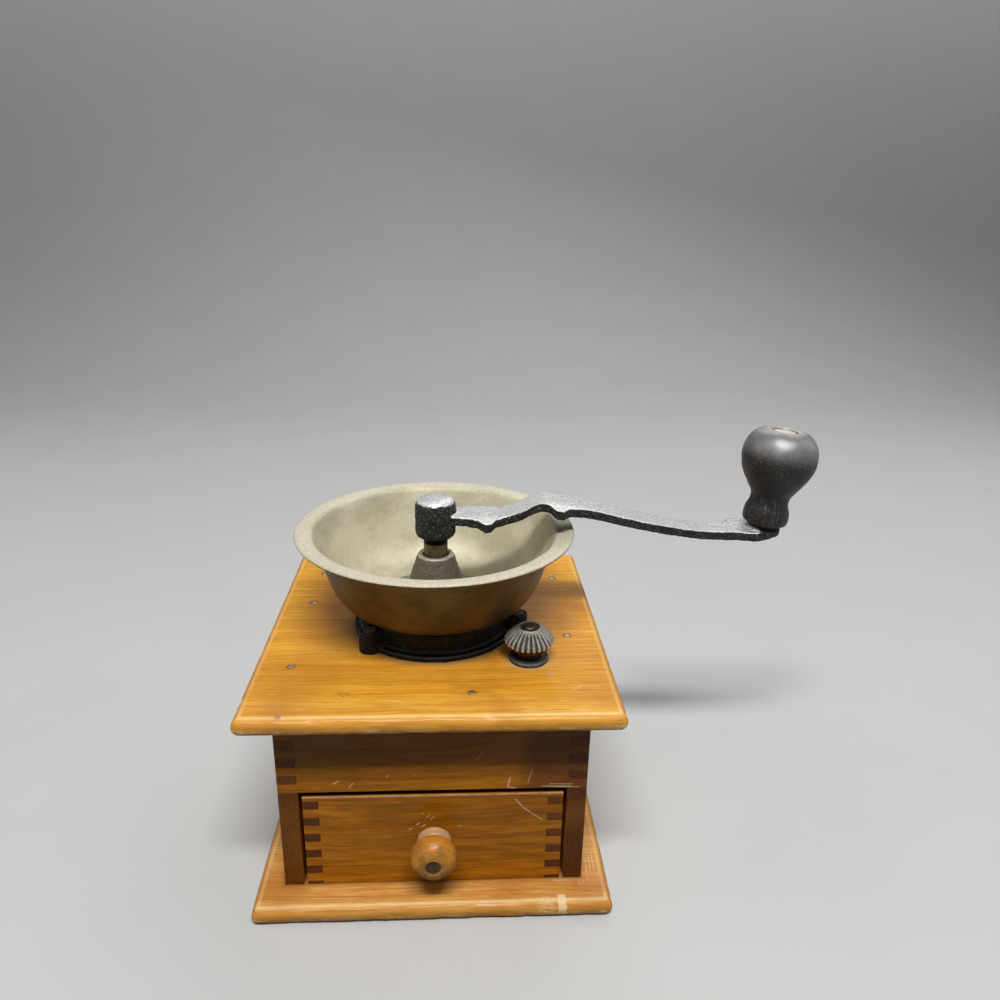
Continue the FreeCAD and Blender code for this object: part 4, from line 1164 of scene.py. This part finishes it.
# %% The nut
nut_foot = nut_low.z / mm
nut_top = nut_high.z / mm
nut_widest = (nut_high.x - nut_low.x) / 2 / mm
nut_line = ([(3.7, nut_foot), (6.1, nut_foot), (6.6, nut_foot + 0.4), (6.7, nut_foot + 1.7)]
            + flowing([(7.6, nut_foot + 3.0), (10.2, nut_foot + 5.4), (11.9, nut_foot + 7.2),
                       (nut_widest, nut_foot + 8.5), (12.3, nut_foot + 9.9), (10.9, nut_foot + 11.7),
                       (9.0, nut_foot + 13.4), (7.2, nut_foot + 14.9), (6.2, nut_foot + 15.7)], 4)
            + [(5.7, nut_top), (4.9, nut_top), (4.5, nut_top - 0.6), (4.4, nut_top - 1.6),
               (3.7, nut_top - 1.7)])
nut = turned(nut_line, closed=True, steps=ribs * 8)
nut.normal_update()
grooved = {}
for vert in nut.verts:
    height = vert.co.z / mm - nut_foot
    off_axis = hypot(vert.co.x, vert.co.y) / mm
    share = min(1.0, max(0.0, (height - 5.5) / 2.0)) * min(1.0, max(0.0, (off_axis - 5.9) / 2.0))
    wave = 0.5 - 0.5 * cos(ribs * atan2(vert.co.y, vert.co.x))
    grooved[vert] = vert.normal * (-2.0 * rib_depth * wave * share * mm)
for vert, move in grooved.items():
    vert.co += move
roughened(nut, 0.12, 0.6, 9.0)
moved(nut, nut_x, nut_y, 0.0)
piece("nut", nut, "nut", nut_paint(), ["regulating_nut"], sharp=60.0)

# %% [markdown]
# ### The crank's handle
# The handle is a turned wooden pear under black lacquer, loose on a riveted pin that has worn to a lean.
# Its outline is spun upright and then leant over with the pin. The lacquer is glossy where it survives
# and scuffed through where the palm and fingers turn it, and its crown is speckled grey, partly palm wear
# and partly a painted sheen.


# %% Worn black lacquer
lacquer_black = colour(0.006, 0.0055, 0.005)
lacquer_dull = colour(0.014, 0.013, 0.012)
palm_and_sheen_grey = colour(0.12, 0.118, 0.113)
scuff_grey = colour(0.20, 0.185, 0.165)
undercoat_red = colour(0.085, 0.030, 0.018)
bare_pear = colour(0.42, 0.36, 0.29)
plug_pale = colour(0.62, 0.52, 0.40)
ring_dark = colour(0.05, 0.035, 0.025)


def lacquer_paint():
    """Worn black lacquer, told by `up`, the way along the leaning pin, and `out`, away from the shaft."""
    paint = Paint("black_lacquer", Coat_Roughness=0.52, Coat_IOR=2.6, Specular_IOR_Level=0.25)
    x, y, z = paint.place()
    side = x - pin_place.x / mm
    rise = z - pin_place.z / mm
    up = rise * cos(pin_lean) + side * sin(pin_lean)
    out = side * cos(pin_lean) - rise * sin(pin_lean)
    turn = calc("ARCTAN2", y, out)
    off_axis = length(out, y)
    streaks = paint.noise(turn * 9.0, up * 0.10, 0.0, detail=4.0, roughness=0.7)
    hairs = paint.noise(turn * 26.0, up * 0.22, 3.0, detail=3.0, roughness=0.7)
    speck = paint.noise(x * 1.1, y * 1.1, z * 1.1, detail=4.0, roughness=0.75)
    cloud = paint.noise(x * 0.09, y * 0.09, z * 0.09, detail=3.0)
    shade = paint.mix(lacquer_black, lacquer_dull, cloud)
    band = up.step(22.0, 32.0) * up.step(47.0, 41.0)
    scuffed = band * (speck * 0.6 + hairs * 0.4).step(0.47, 0.62) * cloud.step(0.30, 0.60)
    waist = up.step(23.0, 16.0)
    rubbed = waist * (streaks * 0.45 + hairs * 0.25 + speck * 0.3).step(0.50, 0.62)
    # Partly palm wear and partly painted sheen: speckled grey over the crown, where the broad highlight
    # lies.
    palm_wear_and_sheen = up.step(33.0, 44.0) * (speck * 0.65 + hairs * 0.35).step(0.48, 0.62)
    shade = paint.mix(shade, palm_and_sheen_grey, palm_wear_and_sheen * (up.step(36.0, 48.0) * 0.65 + 0.20))
    worn = largest(scuffed * 0.55, rubbed * 0.75)
    shade = paint.mix(shade, scuff_grey, worn * 0.8)
    brown_patch = paint.noise(x * 0.13 + 4.0, y * 0.13, z * 0.13, detail=3.0).step(0.56, 0.66)
    left = (out * -1.0).step(6.0, 14.0)
    shade = paint.mix(shade, undercoat_red, brown_patch * up.step(36.0, 26.0) * left * 0.7)
    top = up.step(50.4, 51.4)
    bare = off_axis.step(11.5, 8.0) * top * (speck * 0.8 + 0.2)
    shade = paint.mix(shade, bare_pear, bare * 0.9)
    shade = paint.mix(shade, plug_pale, off_axis.step(5.8, 5.2) * top * 0.85)
    shade = paint.mix(shade, ring_dark, abs(off_axis - 6.0).step(0.8, 0.3) * top * 0.85)
    worn = largest(worn, bare)
    paint.feed(Base_Color=shade, Roughness=0.42 + worn * 0.20 + speck * 0.1,
               Coat_Weight=0.05 + up.step(37.0, 45.5) * 0.95 - worn * 0.05)
    paint.bump(speck * 0.5 + hairs * 0.4 - worn * 0.3, 0.16)
    return paint.material


# %% The handle
foot = 1.9
crown = foot + 51.0
handle_line = ([(3.2, foot), (10.4, foot), (11.3, foot + 0.6)]
               + flowing([(11.8, foot + 1.8), (12.0, foot + 4.2), (11.5, foot + 7.8), (10.3, foot + 11.0),
                          (10.0, foot + 13.4), (10.5, foot + 16.2), (12.6, foot + 19.6),
                          (15.0, foot + 23.4), (17.2, foot + 27.4), (18.7, foot + 32.0),
                          (19.3, foot + 36.6), (18.9, foot + 41.0), (17.4, foot + 45.2),
                          (15.0, foot + 48.4), (12.2, foot + 50.3), (9.4, crown)], 4)
               + [(6.9, crown - 0.1), (6.4, crown - 0.5), (6.2, crown - 1.2), (6.1, crown - 5.0),
                  (3.2, crown - 5.0)])
handle = turned(handle_line, closed=True, steps=96)
plug = turned([(0.0, crown - 0.7), (5.6, crown - 0.8), (6.25, crown - 1.2), (6.25, crown - 2.4),
               (0.0, crown - 2.4)], steps=48)
add_shape(handle, plug)
roughened(handle, 0.20, 0.16, 4.0)
handle.transform(lean)
piece("handle", handle, "knob", lacquer_paint(), ["crank_knob"], sharp=60.0)

# %% [markdown]
# ## Small iron and steel
# Nails are the smallest turned pieces: a domed head on a shank. The frame's own screws, shaft, rod and
# burrs keep their shape and only get a finish.


# %% Turned steel
def steel_paint(name, shade, rough, painted_shade_above=None, filled=None):
    """Tarnished steel. Painted shade from the hub makes it black above a given height, and filler hides
    what is near `filled`.
    """
    paint = Paint(name)
    x, y, z = paint.place()
    turned_marks = paint.noise(x * 0.3, y * 0.3, z * 6.0, detail=2.0)
    tarnish = paint.noise(x * 0.25, y * 0.25, z * 0.25, detail=4.0)
    speck = paint.noise(x * 1.8, y * 1.8, z * 1.8, detail=3.0)
    tone = paint.mix(shade, darker(shade, 0.40), tarnish.step(0.45, 0.75) * 0.8)
    tone = paint.mix(tone, darker(shade, 0.55), speck.step(0.55, 0.68) * 0.5)
    # Painted shade: the shaft under the hub is painted black above the given height.
    if painted_shade_above:
        tone = paint.mix(tone, colour(0.010, 0.009, 0.008), z.step(painted_shade_above - 0.5, painted_shade_above + 0.5))
    metal = 1.0
    if filled:
        putty = length(x - filled[0], y - filled[1]).step(6.0, 5.0)
        tone = paint.mix(tone, amber_deep, putty)
        metal = 1.0 - putty
    paint.feed(Base_Color=tone, Roughness=rough + tarnish * 0.2, Metallic=metal)
    paint.bump(turned_marks * 0.6 + speck * 0.4, 0.03)
    return paint.material


shaft_steel = steel_paint("shaft_steel", colour(0.20, 0.172, 0.108), 0.40, painted_shade_above=164.8)
screw_steel = steel_paint("screw_steel", colour(0.30, 0.265, 0.215), 0.42)
burr_steel = steel_paint("burr_steel", colour(0.30, 0.29, 0.27), 0.50)
nail_steel = steel_paint("nail_steel", colour(0.52, 0.44, 0.33), 0.45, filled=sunk_nail)
bolt_steel = steel_paint("bolt_steel", colour(0.10, 0.075, 0.05), 0.50)

# %% Nails
head_radius = 1.8
shank_radius = 0.9
nails = bmesh.new()
nails_low, nails_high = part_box("top_board_nails")
top = nails_high.z / mm
shank_foot = nails_low.z / mm
for nail_x, nail_y in nail_places:
    nail = turned([(0.0, shank_foot), (shank_radius, shank_foot + 1.8), (shank_radius, top - 0.6),
                   (head_radius, top - 0.5), (head_radius - 0.1, top - 0.30), (1.2, top - 0.08),
                   (0.6, top), (0.0, top)], steps=16)
    add_shape(nails, moved(nail, nail_x, nail_y, 0.0))
piece("nails", nails, "case", nail_steel, ["top_board_nails"], sharp=50.0)

# %% Finishes for the kept nodes
finishes = {
    "drawer_bottom": tray_wood, "regulating_washer": plain_iron, "crank_shaft": shaft_steel,
    "outer_burr": burr_steel, "inner_burr": burr_steel, "burr_plate": plain_iron,
    "regulator_lever": plain_iron, "lever_hanger": plain_iron, "thrust_bush": burr_steel,
    "drawer_knob_bolt": bolt_steel, "drawer_knob_washer": plain_iron, "knob_washer": ring_black,
    "knob_rivet": bolt_steel, "regulating_rod": bolt_steel,
}
for name, node in frame["nodes"].items():
    node.data.materials.clear()
    node.data.materials.append(finishes.get(name, screw_steel))
